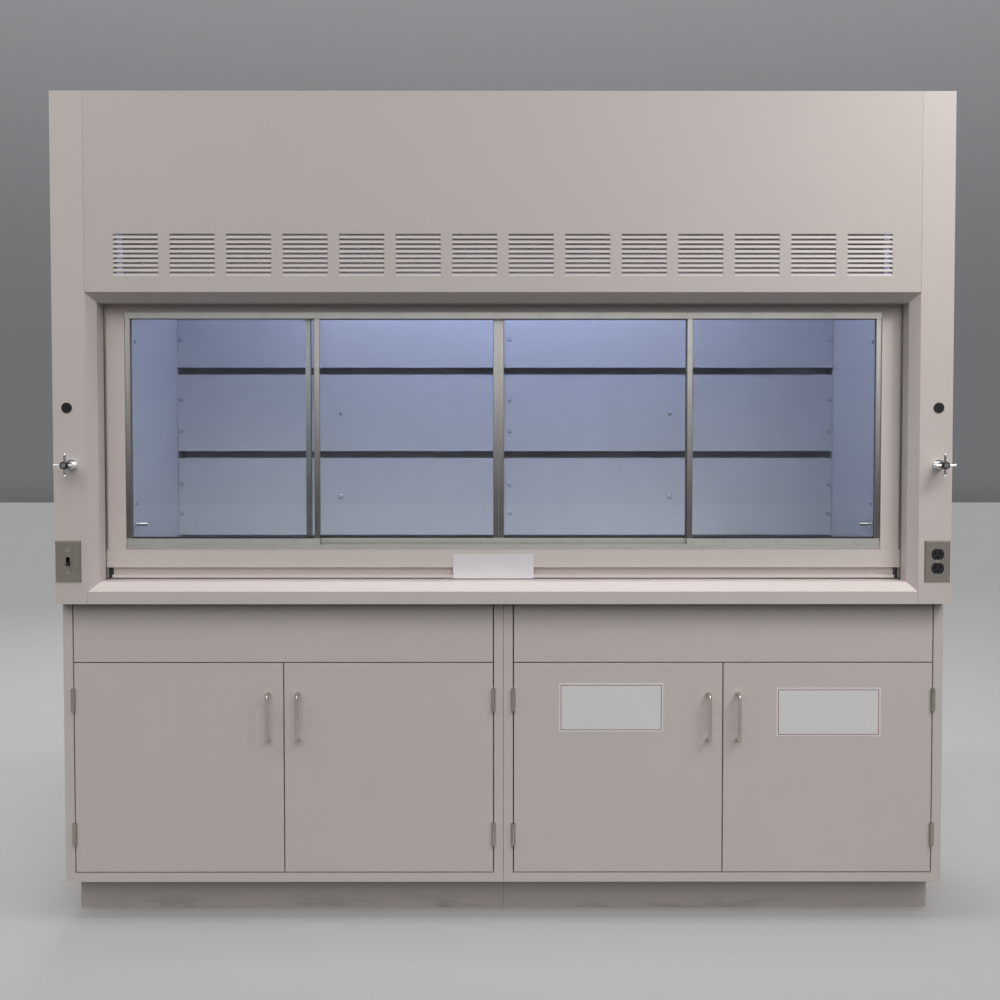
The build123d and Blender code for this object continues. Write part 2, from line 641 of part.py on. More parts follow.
with BuildPart() as sash_tracks:
    track_x = (-STILE[0] + 0.3, STILE[0] - 0.3)
    block(track_x, TRACK_DEPTH, (RAIL_TOP + 0.1, RAIL_TOP + 3))
    block(track_x, TRACK_DEPTH, (TRACK_TOP - 3, TRACK_TOP))
    for lip in TRACK_LIPS:
        block(track_x, (lip, lip + LIP), (RAIL_TOP + 0.1, RAIL_TOP + TRACK_LIP))
        block(track_x, (lip, lip + LIP), (WINDOW_TOP, TRACK_TOP))
sash_tracks.part.label = "sash_tracks"
export_step(sash_tracks.part, "parts/sash_tracks.step")

# ---------------------------------------------------------------- four sliding panes
for number, (left, track) in enumerate(PANES, start=1):
    glass_x = (left + 3, left + PANE_WIDTH - 3)
    glass_depth = (track - GLASS / 2, track + GLASS / 2)
    glass_z = (PANE_BOTTOM + 14, PANE_TOP - 3)

    with BuildPart() as pane_glass:
        block(glass_x, glass_depth, glass_z)
    pane_glass.part.label = f"pane_{number}_glass"
    export_step(pane_glass.part, f"parts/pane_{number}_glass.step")

    with BuildPart() as pane_trim:
        trim_depth = (track - PANE_TRIM / 2, track + PANE_TRIM / 2)
        block((left, left + PANE_WIDTH), trim_depth, (PANE_BOTTOM, PANE_TOP))
        window_x = (left + PANE_EDGE, left + PANE_WIDTH - PANE_EDGE)
        block(window_x, trim_depth, (PANE_BOTTOM + SHOE, WINDOW_TOP), mode=Mode.SUBTRACT)
        block(glass_x, glass_depth, glass_z, mode=Mode.SUBTRACT)
    pane_trim.part.label = f"pane_{number}_trim"
    export_step(pane_trim.part, f"parts/pane_{number}_trim.step")

# ---------------------------------------------------------------- cables, sheaves and counterweights
CABLE_TOP = SHEAVE_Z + SHEAVE_RADIUS
CABLE_FRONT = FRONT_SHEAVE - SHEAVE_RADIUS
CABLE_REAR = REAR_SHEAVE + SHEAVE_RADIUS
END_GAP = 0.3

with BuildPart() as sash_cables:
    for side in (-1, 1):
        route = ((CABLE_FRONT, ARM_TOP + END_GAP), (CABLE_FRONT, CABLE_TOP), (CABLE_REAR, CABLE_TOP))
        route += ((CABLE_REAR, WEIGHT_TOP + END_GAP),)
        bent_rod(side_plane(side * CABLE_X), route, SHEAVE_RADIUS, CABLE_RADIUS)
sash_cables.part.label = "sash_cables"
export_step(sash_cables.part, "parts/sash_cables.step")

FLANGE_RADIUS = 38
GROOVE_RADIUS = SHEAVE_RADIUS - CABLE_RADIUS - END_GAP


def sheave(side, depth):
    """Adds a grooved wheel: a rim for the cable between two flanges."""
    bar("X", side * CABLE_X, depth, SHEAVE_Z, GROOVE_RADIUS, 12)
    for offset_x in (-4.5, 4.5):
        bar("X", side * CABLE_X + offset_x, depth, SHEAVE_Z, FLANGE_RADIUS, 4)


with BuildPart() as front_sheaves:
    bar("X", 0, FRONT_SHEAVE, SHEAVE_Z, SHAFT_RADIUS, 2 * 1172)
    for side in (-1, 1):
        sheave(side, FRONT_SHEAVE)
front_sheaves.part.label = "front_sheaves"
export_step(front_sheaves.part, "parts/front_sheaves.step")

with BuildPart() as rear_sheaves:
    for side in (-1, 1):
        bar("X", side * CABLE_X, REAR_SHEAVE, SHEAVE_Z, SHAFT_RADIUS, 44)
        sheave(side, REAR_SHEAVE)
rear_sheaves.part.label = "rear_sheaves"
export_step(rear_sheaves.part, "parts/rear_sheaves.step")

with BuildPart() as counterweights:
    for side in (-1, 1):
        weight_x = span(CABLE_X - WEIGHT[0] / 2, CABLE_X + WEIGHT[0] / 2, side)
        weight_depth = (CABLE_REAR - WEIGHT[1] / 2, CABLE_REAR + WEIGHT[1] / 2)
        block(weight_x, weight_depth, (WEIGHT_TOP - WEIGHT[2], WEIGHT_TOP))
    chamfer(counterweights.edges().filter_by(Axis.Z), length=4)
counterweights.part.label = "counterweights"
export_step(counterweights.part, "parts/counterweights.step")


# ---------------------------------------------------------------- base cabinets
def cabinet(side):
    """Builds one sheet-steel cabinet body with an open front framed by stiles and a bottom rail."""
    with BuildPart() as piece:
        outer = (SEAM, HALF)
        inner = STILE_INNER
        block(span(*outer, side), (CABINET_FRONT, CABINET_BACK), (PLINTH, CABINET_TOP))
        hollow = (outer[0] + THIN, outer[1] - THIN)
        hollow_depth = (CABINET_FRONT + THIN, CABINET_BACK - THIN)
        block(span(*hollow, side), hollow_depth, (PLINTH + THIN, CABINET_TOP), mode=Mode.SUBTRACT)
        face = (CABINET_FRONT, CABINET_FRONT + THIN)
        block(span(*inner, side), face, (PLINTH + 25, CABINET_TOP), mode=Mode.SUBTRACT)
        fold = (CABINET_FRONT, CABINET_FRONT + 25)
        full = (PLINTH, CABINET_TOP)
        block(span(outer[0], inner[0], side), face, full)
        block(span(inner[0] - THIN, inner[0], side), fold, full)
        block(span(inner[1], inner[1] + THIN, side), fold, full)
        block(span(inner[0], inner[1], side), fold, (PLINTH + 25 - THIN, PLINTH + 25))
        top_sheet = (CABINET_TOP - THIN, CABINET_TOP)
        block(span(*hollow, side), (CABINET_FRONT + 22, CABINET_FRONT + 80), top_sheet)
        block(span(*hollow, side), (CABINET_BACK - 60, CABINET_BACK), top_sheet)
    return piece


left_cabinet = cabinet(-1)
left_cabinet.part.label = "left_cabinet"
export_step(left_cabinet.part, "parts/left_cabinet.step")

right_cabinet = cabinet(1)
right_cabinet.part.label = "right_cabinet"
export_step(right_cabinet.part, "parts/right_cabinet.step")


def pan(x, z, depth):
    """Adds a sheet-steel pan: a front sheet with rounded, returned edges, open at the back."""
    block(x, (CABINET_FRONT, CABINET_FRONT + depth), z)
    fillet(edges(Select.LAST).group_by(Axis.Y)[0], radius=THIN)
    inner_x = (x[0] + THIN, x[1] - THIN)
    inner_z = (z[0] + THIN, z[1] - THIN)
    block(inner_x, (CABINET_FRONT + THIN, CABINET_FRONT + depth), inner_z, mode=Mode.SUBTRACT)


with BuildPart() as apron_panels:
    for side in (-1, 1):
        pan(span(STILE_INNER[0] + GAP, STILE_INNER[1] - GAP, side), APRON_Z, DOOR_DEPTH)
apron_panels.part.label = "apron_panels"
export_step(apron_panels.part, "parts/apron_panels.step")

with BuildPart() as plinths:
    for side in (-1, 1):
        plinth_x = span(SEAM, HALF - PLINTH_INSET, side)
        block(plinth_x, (CABINET_FRONT + TOE_SPACE, CABINET_BACK), (0, PLINTH))
        hollow_x = (plinth_x[0] + SHEET, plinth_x[1] - SHEET)
        hollow_depth = (CABINET_FRONT + TOE_SPACE + SHEET, CABINET_BACK)
        block(hollow_x, hollow_depth, (0, PLINTH), mode=Mode.SUBTRACT)
plinths.part.label = "plinths"
export_step(plinths.part, "parts/plinths.step")

with BuildPart() as levelling_feet:
    for x in (-1160, -50, 50, 1160):
        for depth in (CABINET_FRONT + TOE_SPACE + 50, CABINET_BACK - 50):
            bar("Z", x, depth, 4, 20, 8)
            bar("Z", x, depth, (8 + PLINTH) / 2, 5, PLINTH - 8)
levelling_feet.part.label = "levelling_feet"
export_step(levelling_feet.part, "parts/levelling_feet.step")

with BuildPart() as cabinet_shelves:
    for side in (-1, 1):
        shelf_x = span(SEAM + THIN + 1, HALF - THIN - 1, side)
        block(shelf_x, (CABINET_FRONT + 90, CABINET_BACK - 3), (SHELF_Z, SHELF_Z + THIN))
        block(shelf_x, (CABINET_FRONT + 90, CABINET_FRONT + 90 + THIN), (SHELF_Z - 24, SHELF_Z))
cabinet_shelves.part.label = "cabinet_shelves"
export_step(cabinet_shelves.part, "parts/cabinet_shelves.step")

# ---------------------------------------------------------------- doors, pulls and hinges
# Each door: number, its span of X, and which of its sides (-1 left, 1 right) carries the hinges.
OUTER_EDGE = STILE_INNER[1] - GAP
INNER_EDGE = STILE_INNER[0] + GAP
HALF_GAP = GAP / 2
DOORS = (
    (1, (-OUTER_EDGE, -DOOR_SPLIT - HALF_GAP), -1),
    (2, (-DOOR_SPLIT + HALF_GAP, -INNER_EDGE), 1),
    (3, (INNER_EDGE, DOOR_SPLIT - HALF_GAP), -1),
    (4, (DOOR_SPLIT + HALF_GAP, OUTER_EDGE), 1),
)
PIN_DEPTH = CABINET_FRONT - PIN_PROUD
KNUCKLE_PITCH = HINGE_HEIGHT / KNUCKLES


def hinge_leaf(pin_x, toward, moving):
    """Adds one leaf of each hinge of a door, on the side of the pin given by toward."""
    leaf_x = sorted((pin_x + toward * (HALF_GAP - LEAF), pin_x + toward * HALF_GAP))
    for row in HINGE_ROWS:
        bottom = row - HINGE_HEIGHT / 2
        block(leaf_x, (CABINET_FRONT, CABINET_FRONT + DOOR_DEPTH - 1), (bottom, bottom + HINGE_HEIGHT))
        for knuckle in range(1 if moving else 0, KNUCKLES, 2):
            low = bottom + knuckle * KNUCKLE_PITCH + KNUCKLE_GAP / 2
            high = low + KNUCKLE_PITCH - KNUCKLE_GAP
            bar("Z", pin_x, PIN_DEPTH, (low + high) / 2, KNUCKLE_RADIUS, high - low)
            block(leaf_x, (PIN_DEPTH + 3.2, CABINET_FRONT), (low, high))
        if moving:
            bore = PIN_RADIUS + PIN_CLEARANCE
            bar("Z", pin_x, PIN_DEPTH, row, bore, HINGE_HEIGHT, mode=Mode.SUBTRACT)
        else:
            bar("Z", pin_x, PIN_DEPTH, row, PIN_RADIUS, HINGE_HEIGHT)


def hinge_pin_x(door_x, hinge_side):
    """Returns the X of a door's hinge pins, in the middle of the gap beside the door."""
    return door_x[0] - HALF_GAP if hinge_side < 0 else door_x[1] + HALF_GAP


with BuildPart() as cabinet_hinges:
    for _, door_x, hinge_side in DOORS:
        hinge_leaf(hinge_pin_x(door_x, hinge_side), hinge_side, False)
cabinet_hinges.part.label = "cabinet_hinges"
export_step(cabinet_hinges.part, "parts/cabinet_hinges.step")

for number, door_x, hinge_side in DOORS:
    with BuildPart() as door:
        pan(door_x, DOOR_Z, DOOR_DEPTH)
        back_x = (door_x[0] + THIN + 0.1, door_x[1] - THIN - 0.1)
        back_z = (DOOR_Z[0] + THIN + 0.1, DOOR_Z[1] - THIN - 0.1)
        back_depth = (CABINET_FRONT + DOOR_DEPTH - THIN, CABINET_FRONT + DOOR_DEPTH)
        block(back_x, back_depth, back_z)
    door.part.label = f"door_{number}"
    export_step(door.part, f"parts/door_{number}.step")

    with BuildPart() as door_pull:
        pull_x = door_x[1] - PULL_OFFSET + HALF_GAP if hinge_side < 0 else door_x[0] + PULL_OFFSET - HALF_GAP
        ends = (PULL_Z - PULL_SPAN / 2, PULL_Z + PULL_SPAN / 2)
        grip = CABINET_FRONT - PULL_STANDOFF
        route = ((CABINET_FRONT, ends[0]), (grip, ends[0]), (grip, ends[1]), (CABINET_FRONT, ends[1]))
        bent_rod(side_plane(pull_x), route, 12, PULL_RADIUS)
    door_pull.part.label = f"door_{number}_pull"
    export_step(door_pull.part, f"parts/door_{number}_pull.step")

    with BuildPart() as door_hinge_leaves:
        hinge_leaf(hinge_pin_x(door_x, hinge_side), -hinge_side, True)
    door_hinge_leaves.part.label = f"door_{number}_hinge_leaves"
    export_step(door_hinge_leaves.part, f"parts/door_{number}_hinge_leaves.step")
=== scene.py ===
"""Looks of a bench fume hood, built around its packed metal frame.

Lengths are metres in the shared frame: +Z up, the front facing -Y and the floor at Z = 0. "Depth" is the
distance behind the front face of the hood's posts.
"""

import logging
import math
from collections.abc import Iterable, Mapping, Sequence
from dataclasses import dataclass, field
from enum import Enum

import bmesh
import bpy
from mathutils import Matrix, Vector


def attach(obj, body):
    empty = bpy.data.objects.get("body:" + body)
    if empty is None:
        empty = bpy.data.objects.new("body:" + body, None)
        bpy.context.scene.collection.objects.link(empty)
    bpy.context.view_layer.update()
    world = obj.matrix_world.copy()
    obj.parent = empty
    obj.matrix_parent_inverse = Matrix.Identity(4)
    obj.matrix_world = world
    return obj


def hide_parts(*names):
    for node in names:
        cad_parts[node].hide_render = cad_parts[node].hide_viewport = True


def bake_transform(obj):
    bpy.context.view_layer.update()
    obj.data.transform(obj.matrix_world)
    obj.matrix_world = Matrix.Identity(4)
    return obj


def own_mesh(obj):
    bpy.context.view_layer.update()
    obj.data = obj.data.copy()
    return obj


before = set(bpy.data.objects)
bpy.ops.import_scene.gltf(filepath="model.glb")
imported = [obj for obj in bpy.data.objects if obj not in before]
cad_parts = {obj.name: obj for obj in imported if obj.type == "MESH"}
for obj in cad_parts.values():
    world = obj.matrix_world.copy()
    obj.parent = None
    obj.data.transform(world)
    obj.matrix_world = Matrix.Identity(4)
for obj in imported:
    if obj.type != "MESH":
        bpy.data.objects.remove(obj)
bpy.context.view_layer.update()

log = logging.getLogger("fume_hood")

Colour = tuple[float, float, float]
Point = tuple[float, float, float]

FRONT = -0.3765
SIDES = {"left": -1, "right": 1}


def at(x: float, depth: float, z: float) -> Vector:
    """Gives the point at x, at a depth behind the front face, and at height z."""
    return Vector((x, FRONT + depth, z))


# ---------------------------------------------------------------- shader graphs
class Signal:
    """A value on its way through a shader. Arithmetic on it adds Math nodes."""

    def __init__(self, graph: "Graph", socket: bpy.types.NodeSocket) -> None:
        """Wraps one output socket of a graph."""
        self.graph = graph
        self.socket = socket

    def __add__(self, other: "Signal | float") -> "Signal":
        """Adds."""
        return self.graph.math("ADD", self, other)

    def __radd__(self, other: float) -> "Signal":
        """Adds, from the right."""
        return self.graph.math("ADD", other, self)

    def __sub__(self, other: "Signal | float") -> "Signal":
        """Subtracts."""
        return self.graph.math("SUBTRACT", self, other)

    def __rsub__(self, other: float) -> "Signal":
        """Subtracts this value from a number."""
        return self.graph.math("SUBTRACT", other, self)

    def __mul__(self, other: "Signal | float") -> "Signal":
        """Multiplies."""
        return self.graph.math("MULTIPLY", self, other)

    def __rmul__(self, other: float) -> "Signal":
        """Multiplies, from the right."""
        return self.graph.math("MULTIPLY", other, self)

    def __pow__(self, power: float) -> "Signal":
        """Raises to a power."""
        return self.graph.math("POWER", self, power)

    def ramp(self, start: float, stop: float) -> "Signal":
        """Gives 0 up to start, 1 from stop on, and a smooth rise between them.

        Args:
            start: The value at which the rise begins.
            stop: The value at which it ends, which may be below start.

        Returns:
            The mask.
        """
        inputs = {"Value": self, "From Min": start, "From Max": stop}
        made = self.graph.node("MapRange", inputs, interpolation_type="SMOOTHSTEP")
        return Signal(self.graph, made.outputs["Result"])


Input = Signal | float | Sequence[float]


class Graph:
    """The node tree of a material or of the sky."""

    def __init__(self, owner: bpy.types.Material | bpy.types.World) -> None:
        """Clears the tree of its owner."""
        owner.use_nodes = True
        self.tree = owner.node_tree
        self.tree.nodes.clear()

    def node(self, kind: str, inputs: Mapping[str | int, Input] | None = None,
             **settings: object) -> bpy.types.Node:
        """Adds a node.

        Args:
            kind: The node's type, without the ShaderNode that all of them start with.
            inputs: A value or a signal for each socket named or numbered.
            settings: The node's own properties, which are set before its sockets.

        Returns:
            The node.
        """
        made = self.tree.nodes.new("ShaderNode" + kind)
        for name, setting in settings.items():
            setattr(made, name, setting)
        for key, value in (inputs or {}).items():
            if isinstance(value, Signal):
                self.tree.links.new(value.socket, made.inputs[key])
            else:
                made.inputs[key].default_value = value
        return made

    def math(self, operation: str, left: Input, right: Input) -> Signal:
        """Adds a Math node on two values."""
        made = self.node("Math", {0: left, 1: right}, operation=operation)
        return Signal(self, made.outputs[0])

    def place(self, stretch: Point = (1.0, 1.0, 1.0), centre: Point = (0.0, 0.0, 0.0)) -> Signal:
        """Gives the piece's own coordinates, moved and stretched.

        Args:
            stretch: How fast a pattern runs along each axis.
            centre: The point that becomes the pattern's origin.

        Returns:
            The coordinates.
        """
        own = Signal(self, self.node("TexCoord").outputs["Object"])
        moved = tuple(-c * s for c, s in zip(centre, stretch))
        made = self.node("Mapping", {"Vector": own, "Location": moved, "Scale": stretch})
        return Signal(self, made.outputs["Vector"])

    def noise(self, scale: float, detail: float = 3.0, stretch: Point = (1.0, 1.0, 1.0)) -> Signal:
        """Adds a noise pattern of values about 0.5.

        Args:
            scale: Blots per metre.
            detail: How many finer layers it has.
            stretch: How fast it runs along each axis.

        Returns:
            The pattern.
        """
        made = self.node("TexNoise", {"Vector": self.place(stretch), "Scale": scale, "Detail": detail})
        return Signal(self, made.outputs["Fac"])

    def cells(self, scale: float) -> Signal:
        """Adds a pattern of flat cells, each with a grey value of its own."""
        made = self.node("TexVoronoi", {"Vector": self.place(), "Scale": scale})
        spread = self.node("SeparateColor", {"Color": Signal(self, made.outputs["Color"])})
        return Signal(self, spread.outputs["Red"])

    def axis(self, index: int) -> Signal:
        """Gives one of the piece's own coordinates, 0 for X to 2 for Z."""
        made = self.node("SeparateXYZ", {"Vector": self.place()})
        return Signal(self, made.outputs[index])

    def distance(self, centre: Point, stretch: Point = (1.0, 1.0, 1.0)) -> Signal:
        """Gives the distance from a point, with each axis weighted by stretch."""
        made = self.node("VectorMath", {0: self.place(stretch, centre)}, operation="LENGTH")
        return Signal(self, made.outputs["Value"])

    def shaded(self, colour: Colour, tone: Signal) -> Signal:
        """Gives a colour, lightened or darkened by a value."""
        made = self.node("VectorMath", {0: colour, "Scale": tone}, operation="SCALE")
        return Signal(self, made.outputs["Vector"])

    def blend(self, factor: Input, first: Input, second: Input) -> Signal:
        """Mixes two colours, each a signal or three numbers."""
        ends = [c if isinstance(c, Signal) else (*c, 1.0) for c in (first, second)]
        made = self.node("Mix", {0: factor, 6: ends[0], 7: ends[1]}, data_type="RGBA")
        return Signal(self, made.outputs[2])

    def bump(self, height: Signal, distance: float, strength: float) -> Signal:
        """Gives a normal that follows a height, which runs over the distance given."""
        made = self.node("Bump", {"Height": height, "Distance": distance, "Strength": strength})
        return Signal(self, made.outputs["Normal"])

    def principled(self, **inputs: Input) -> Signal:
        """Adds the main shader, with spaces in its sockets' names written as underscores."""
        named = {key.replace("_", " "): value for key, value in inputs.items()}
        if not isinstance(named.get("Base Color", Vector()), Signal) and "Base Color" in named:
            named["Base Color"] = (*named["Base Color"], 1.0)
        made = self.node("BsdfPrincipled", named)
        return Signal(self, made.outputs["BSDF"])

    def finish(self, shader: Signal, output: str = "OutputMaterial") -> None:
        """Joins the shader to the output."""
        self.node(output, {"Surface": shader})


# ---------------------------------------------------------------- finishes
class Grain(Enum):
    """The way that a metal was drawn or brushed, as how fast its streaks run along each axis."""

    ALONG_X = (0.015, 1.0, 1.0)
    ALONG_Z = (1.0, 1.0, 0.015)
    NONE = (1.0, 1.0, 1.0)


@dataclass(frozen=True)
class Finish:
    """A surface finish. Each kind lays out nodes of its own."""

    name: str

    def lay_out(self, graph: Graph) -> Signal:
        """Adds the finish's nodes to a graph and returns its shader."""
        raise NotImplementedError


@dataclass(frozen=True)
class PaintedSteel(Finish):
    """Baked enamel on sheet steel, softly clouded, with rub marks and shoe scuffs near the floor."""

    colour: Colour = (0.735, 0.662, 0.630)
    roughness: float = 0.44
    scuffs_below: float = 0.0
    handled_at: Point | None = None
    hand_mark: Colour = (0.46, 0.41, 0.36)
    hand_reach: float = 0.10
    scuff_mark: Colour = (0.23, 0.20, 0.18)
    chip_mark: Colour = (0.50, 0.46, 0.42)

    def lay_out(self, graph: Graph) -> Signal:
        """Adds the finish's nodes to a graph and returns its shader."""
        cloud = graph.noise(1.6, 2.0)
        blots = graph.noise(14.0, 4.0)
        drag = graph.noise(30.0, 3.0, (1.0, 1.0, 0.06))
        tone = 0.945 + cloud * 0.06 + blots * 0.028 + drag * 0.018
        colour = graph.shaded(self.colour, tone)
        roughness = self.roughness + (blots - 0.5) * 0.16 + (drag - 0.5) * 0.12
        if self.handled_at:
            near = graph.distance(self.handled_at, (1.0, 1.0, 0.55)).ramp(self.hand_reach, 0.0)
            smudge = near * graph.noise(60.0, 4.0).ramp(0.42, 0.62)
            colour = graph.blend(smudge * 0.16, colour, self.hand_mark)
            roughness = roughness - smudge * 0.10
        if self.scuffs_below:
            low = graph.axis(2).ramp(self.scuffs_below, 0.0)
            scrape = graph.noise(34.0, 5.0, (0.22, 1.0, 1.0)).ramp(0.52, 0.64)
            grime = low * (scrape * 0.3 + blots * 0.25)
            colour = graph.blend(grime, colour, self.scuff_mark)
            roughness = roughness + grime * 0.3
        chips = graph.noise(210.0, 2.0).ramp(0.76, 0.80)
        colour = graph.blend(chips * 0.35, colour, self.chip_mark)
        skin = graph.noise(420.0, 2.0) + blots * 1.5
        normal = graph.bump(skin, 0.00012, 0.5)
        return graph.principled(Base_Color=colour, Roughness=roughness, Normal=normal, Coat_Weight=0.12,
                                Coat_Roughness=0.28)


@dataclass(frozen=True)
class Board(Finish):
    """Moulded sheet such as liner board or cast resin, with fine specks and a soft skin."""

    colour: Colour
    speck: Colour
    roughness: float
    specks: float = 0.25
    streaks: float = 0.03

    def lay_out(self, graph: Graph) -> Signal:
        """Adds the finish's nodes to a graph and returns its shader."""
        cloud = graph.noise(2.6, 3.0)
        fine = graph.noise(260.0, 3.0)
        runs = graph.noise(16.0, 4.0, (1.0, 1.0, 0.07))
        tone = 1.0 - 2.0 * self.streaks + (cloud + runs) * (2.0 * self.streaks)
        colour = graph.shaded(self.colour, tone)
        colour = graph.blend(fine.ramp(0.60, 0.72) * self.specks, colour, self.speck)
        roughness = self.roughness + (runs - 0.5) * 0.14 + (fine - 0.5) * 0.06
        normal = graph.bump(fine + cloud * 2.0, 0.0002, 0.4)
        return graph.principled(Base_Color=colour, Roughness=roughness, Normal=normal)


@dataclass(frozen=True)
class BrushedMetal(Finish):
    """Bare metal with drawn or brushed streaks, fingerprints and a little tarnish.

    A painted reflection of dark surroundings can darken the metal: given three heights, it darkens from the
    first down to the second and stops below the third.
    """

    colour: Colour
    roughness: float
    grain: Grain = Grain.NONE
    tarnish: Colour = (0.20, 0.18, 0.16)
    wear: float = 0.18
    fineness: float = 700.0
    dark_reflection_heights: tuple[float, float, float] | None = None
    dark_reflection_colour: Colour = (0.115, 0.110, 0.108)

    def lay_out(self, graph: Graph) -> Signal:
        """Adds the finish's nodes to a graph and returns its shader."""
        streaks = graph.noise(self.fineness, 3.0, self.grain.value)
        prints = graph.noise(26.0, 4.0)
        tone = 0.86 + streaks * 0.28
        colour = graph.shaded(self.colour, tone)
        colour = graph.blend(prints.ramp(0.5, 0.75) * self.wear, colour, self.tarnish)
        # Painted reflection: the metal darkens towards its foot as if it reflected the dark floor.
        if self.dark_reflection_heights:
            height = graph.axis(2)
            start, stop, foot = self.dark_reflection_heights
            dark_reflection_mask = height.ramp(start, stop) * height.ramp(foot - 0.001, foot)
            colour = graph.blend(dark_reflection_mask * (0.84 + prints * 0.12), colour, self.dark_reflection_colour)
        roughness = self.roughness + (streaks - 0.5) * 0.22 + (prints - 0.5) * 0.16
        normal = graph.bump(streaks, 0.00006, 0.6)
        return graph.principled(Base_Color=colour, Metallic=1.0, Roughness=roughness, Normal=normal)


@dataclass(frozen=True)
class ZincCoat(Finish):
    """Hot-dipped zinc with its crystals and white bloom."""

    light: Colour = (0.58, 0.59, 0.60)
    dark: Colour = (0.40, 0.41, 0.43)
    white_bloom: Colour = (0.62, 0.61, 0.59)
    crystals: float = 75.0

    def lay_out(self, graph: Graph) -> Signal:
        """Adds the finish's nodes to a graph and returns its shader."""
        spangle = graph.cells(self.crystals)
        bloom = graph.noise(6.0, 5.0)
        colour = graph.blend(spangle, self.dark, self.light)
        colour = graph.blend(bloom.ramp(0.52, 0.72) * 0.4, colour, self.white_bloom)
        roughness = 0.38 + spangle * 0.16 + bloom.ramp(0.5, 0.75) * 0.2
        normal = graph.bump(spangle + bloom, 0.00008, 0.5)
        metallic = 1.0 - bloom.ramp(0.52, 0.72) * 0.35
        return graph.principled(Base_Color=colour, Metallic=metallic, Roughness=roughness, Normal=normal)


@dataclass(frozen=True)
class Plastic(Finish):
    """Moulded plastic with a fine texture and rubbed patches."""

    colour: Colour
    roughness: float = 0.42

    def lay_out(self, graph: Graph) -> Signal:
        """Adds the finish's nodes to a graph and returns its shader."""
        fine = graph.noise(900.0, 2.0)
        rub = graph.noise(70.0, 3.0)
        colour = graph.shaded(self.colour, 0.86 + rub * 0.28)
        roughness = self.roughness + (rub - 0.5) * 0.2 + (fine - 0.5) * 0.1
        normal = graph.bump(fine, 0.00005, 0.5)
        return graph.principled(Base_Color=colour, Roughness=roughness, Normal=normal)


@dataclass(frozen=True)
class RoughCasting(Finish):
    """A sand casting under thin black paint, with rust at its chips."""

    colour: Colour = (0.07, 0.07, 0.072)
    rust: Colour = (0.17, 0.08, 0.04)

    def lay_out(self, graph: Graph) -> Signal:
        """Adds the finish's nodes to a graph and returns its shader."""
        sand = graph.noise(230.0, 5.0)
        patches = graph.noise(22.0, 5.0)
        colour = graph.blend(patches.ramp(0.60, 0.72) * 0.5, self.colour, self.rust)
        roughness = 0.6 + (sand - 0.5) * 0.3
        normal = graph.bump(sand + patches, 0.0009, 0.6)
        return graph.principled(Base_Color=colour, Roughness=roughness, Normal=normal)


@dataclass(frozen=True)
class SafetyGlass(Finish):
    """Clear laminated glass with a faint tint, soft reflections and a film of dust."""

    tint: Colour = (0.955, 0.975, 0.985)
    film: float = 0.018
    dust: Colour = (0.75, 0.78, 0.82)
    sheen: Colour = (0.90, 0.95, 1.00)
    mirror: float = 0.0255

    def lay_out(self, graph: Graph) -> Signal:
        """Adds the finish's nodes to a graph and returns its shader."""
        clear = Signal(graph, graph.node("BsdfTransparent", {"Color": (*self.tint, 1.0)}).outputs["BSDF"])
        wipes = graph.noise(7.0, 4.0, (1.0, 1.0, 0.35))
        gloss_inputs = {"Color": (*self.sheen, 1.0), "Roughness": wipes * 0.03}
        gloss = Signal(graph, graph.node("BsdfAnisotropic", gloss_inputs).outputs["BSDF"])
        dust = Signal(graph, graph.node("BsdfDiffuse", {"Color": (*self.dust, 1.0)}).outputs["BSDF"])
        facing = Signal(graph, graph.node("LayerWeight", {"Blend": 0.5}).outputs["Facing"])
        edge = self.mirror + facing ** 5.0 * (1.0 - self.mirror)
        veiled = graph.node("MixShader", {0: wipes.ramp(0.35, 0.75) * self.film, 1: clear, 2: dust})
        mixed = graph.node("MixShader", {0: edge, 1: Signal(graph, veiled.outputs["Shader"]), 2: gloss})
        return Signal(graph, mixed.outputs["Shader"])


@dataclass(frozen=True)
class LitPanel(Finish):
    """A lamp or its diffuser: a pale surface that shines, brighter along the tubes behind it.

    Where ends is given, the glow grows from the middle to that distance on each side.
    """

    glow: Colour
    strength: float
    tube_rows: tuple[float, ...] = ()
    ends: float = 0.0
    tube_reach: float = 0.03
    surface: Colour = (0.82, 0.84, 0.86)

    def lay_out(self, graph: Graph) -> Signal:
        """Adds the finish's nodes to a graph and returns its shader."""
        prisms = graph.cells(260.0)
        bright = 0.86 + prisms * 0.12
        for row in self.tube_rows:
            offset = graph.axis(1) - row
            bright = bright + (offset * offset).ramp(self.tube_reach ** 2, 0.0) * 0.35
        if self.ends:
            across = graph.axis(0)
            bright = bright * (0.72 + (across * across).ramp(0.0, self.ends ** 2) * 0.75)
        light = graph.shaded(self.glow, bright)
        normal = graph.bump(prisms, 0.0006, 0.5)
        return graph.principled(Base_Color=self.surface, Roughness=0.3, Normal=normal,
                                Emission_Color=light, Emission_Strength=self.strength)


@dataclass(frozen=True)
class PrintedFilm(Finish):
    """A blank label of semi-clear film, with trapped air and lifted specks."""

    colour: Colour
    roughness: float = 0.32

    def lay_out(self, graph: Graph) -> Signal:
        """Adds the finish's nodes to a graph and returns its shader."""
        fibres = graph.noise(300.0, 3.0, (0.2, 1.0, 1.0))
        ripple = graph.noise(18.0, 2.0)
        colour = graph.shaded(self.colour, 0.95 + fibres * 0.05 + ripple * 0.05)
        normal = graph.bump(ripple + fibres * 0.1, 0.0006, 0.5)
        return graph.principled(Base_Color=colour, Roughness=self.roughness + fibres * 0.1, Normal=normal)


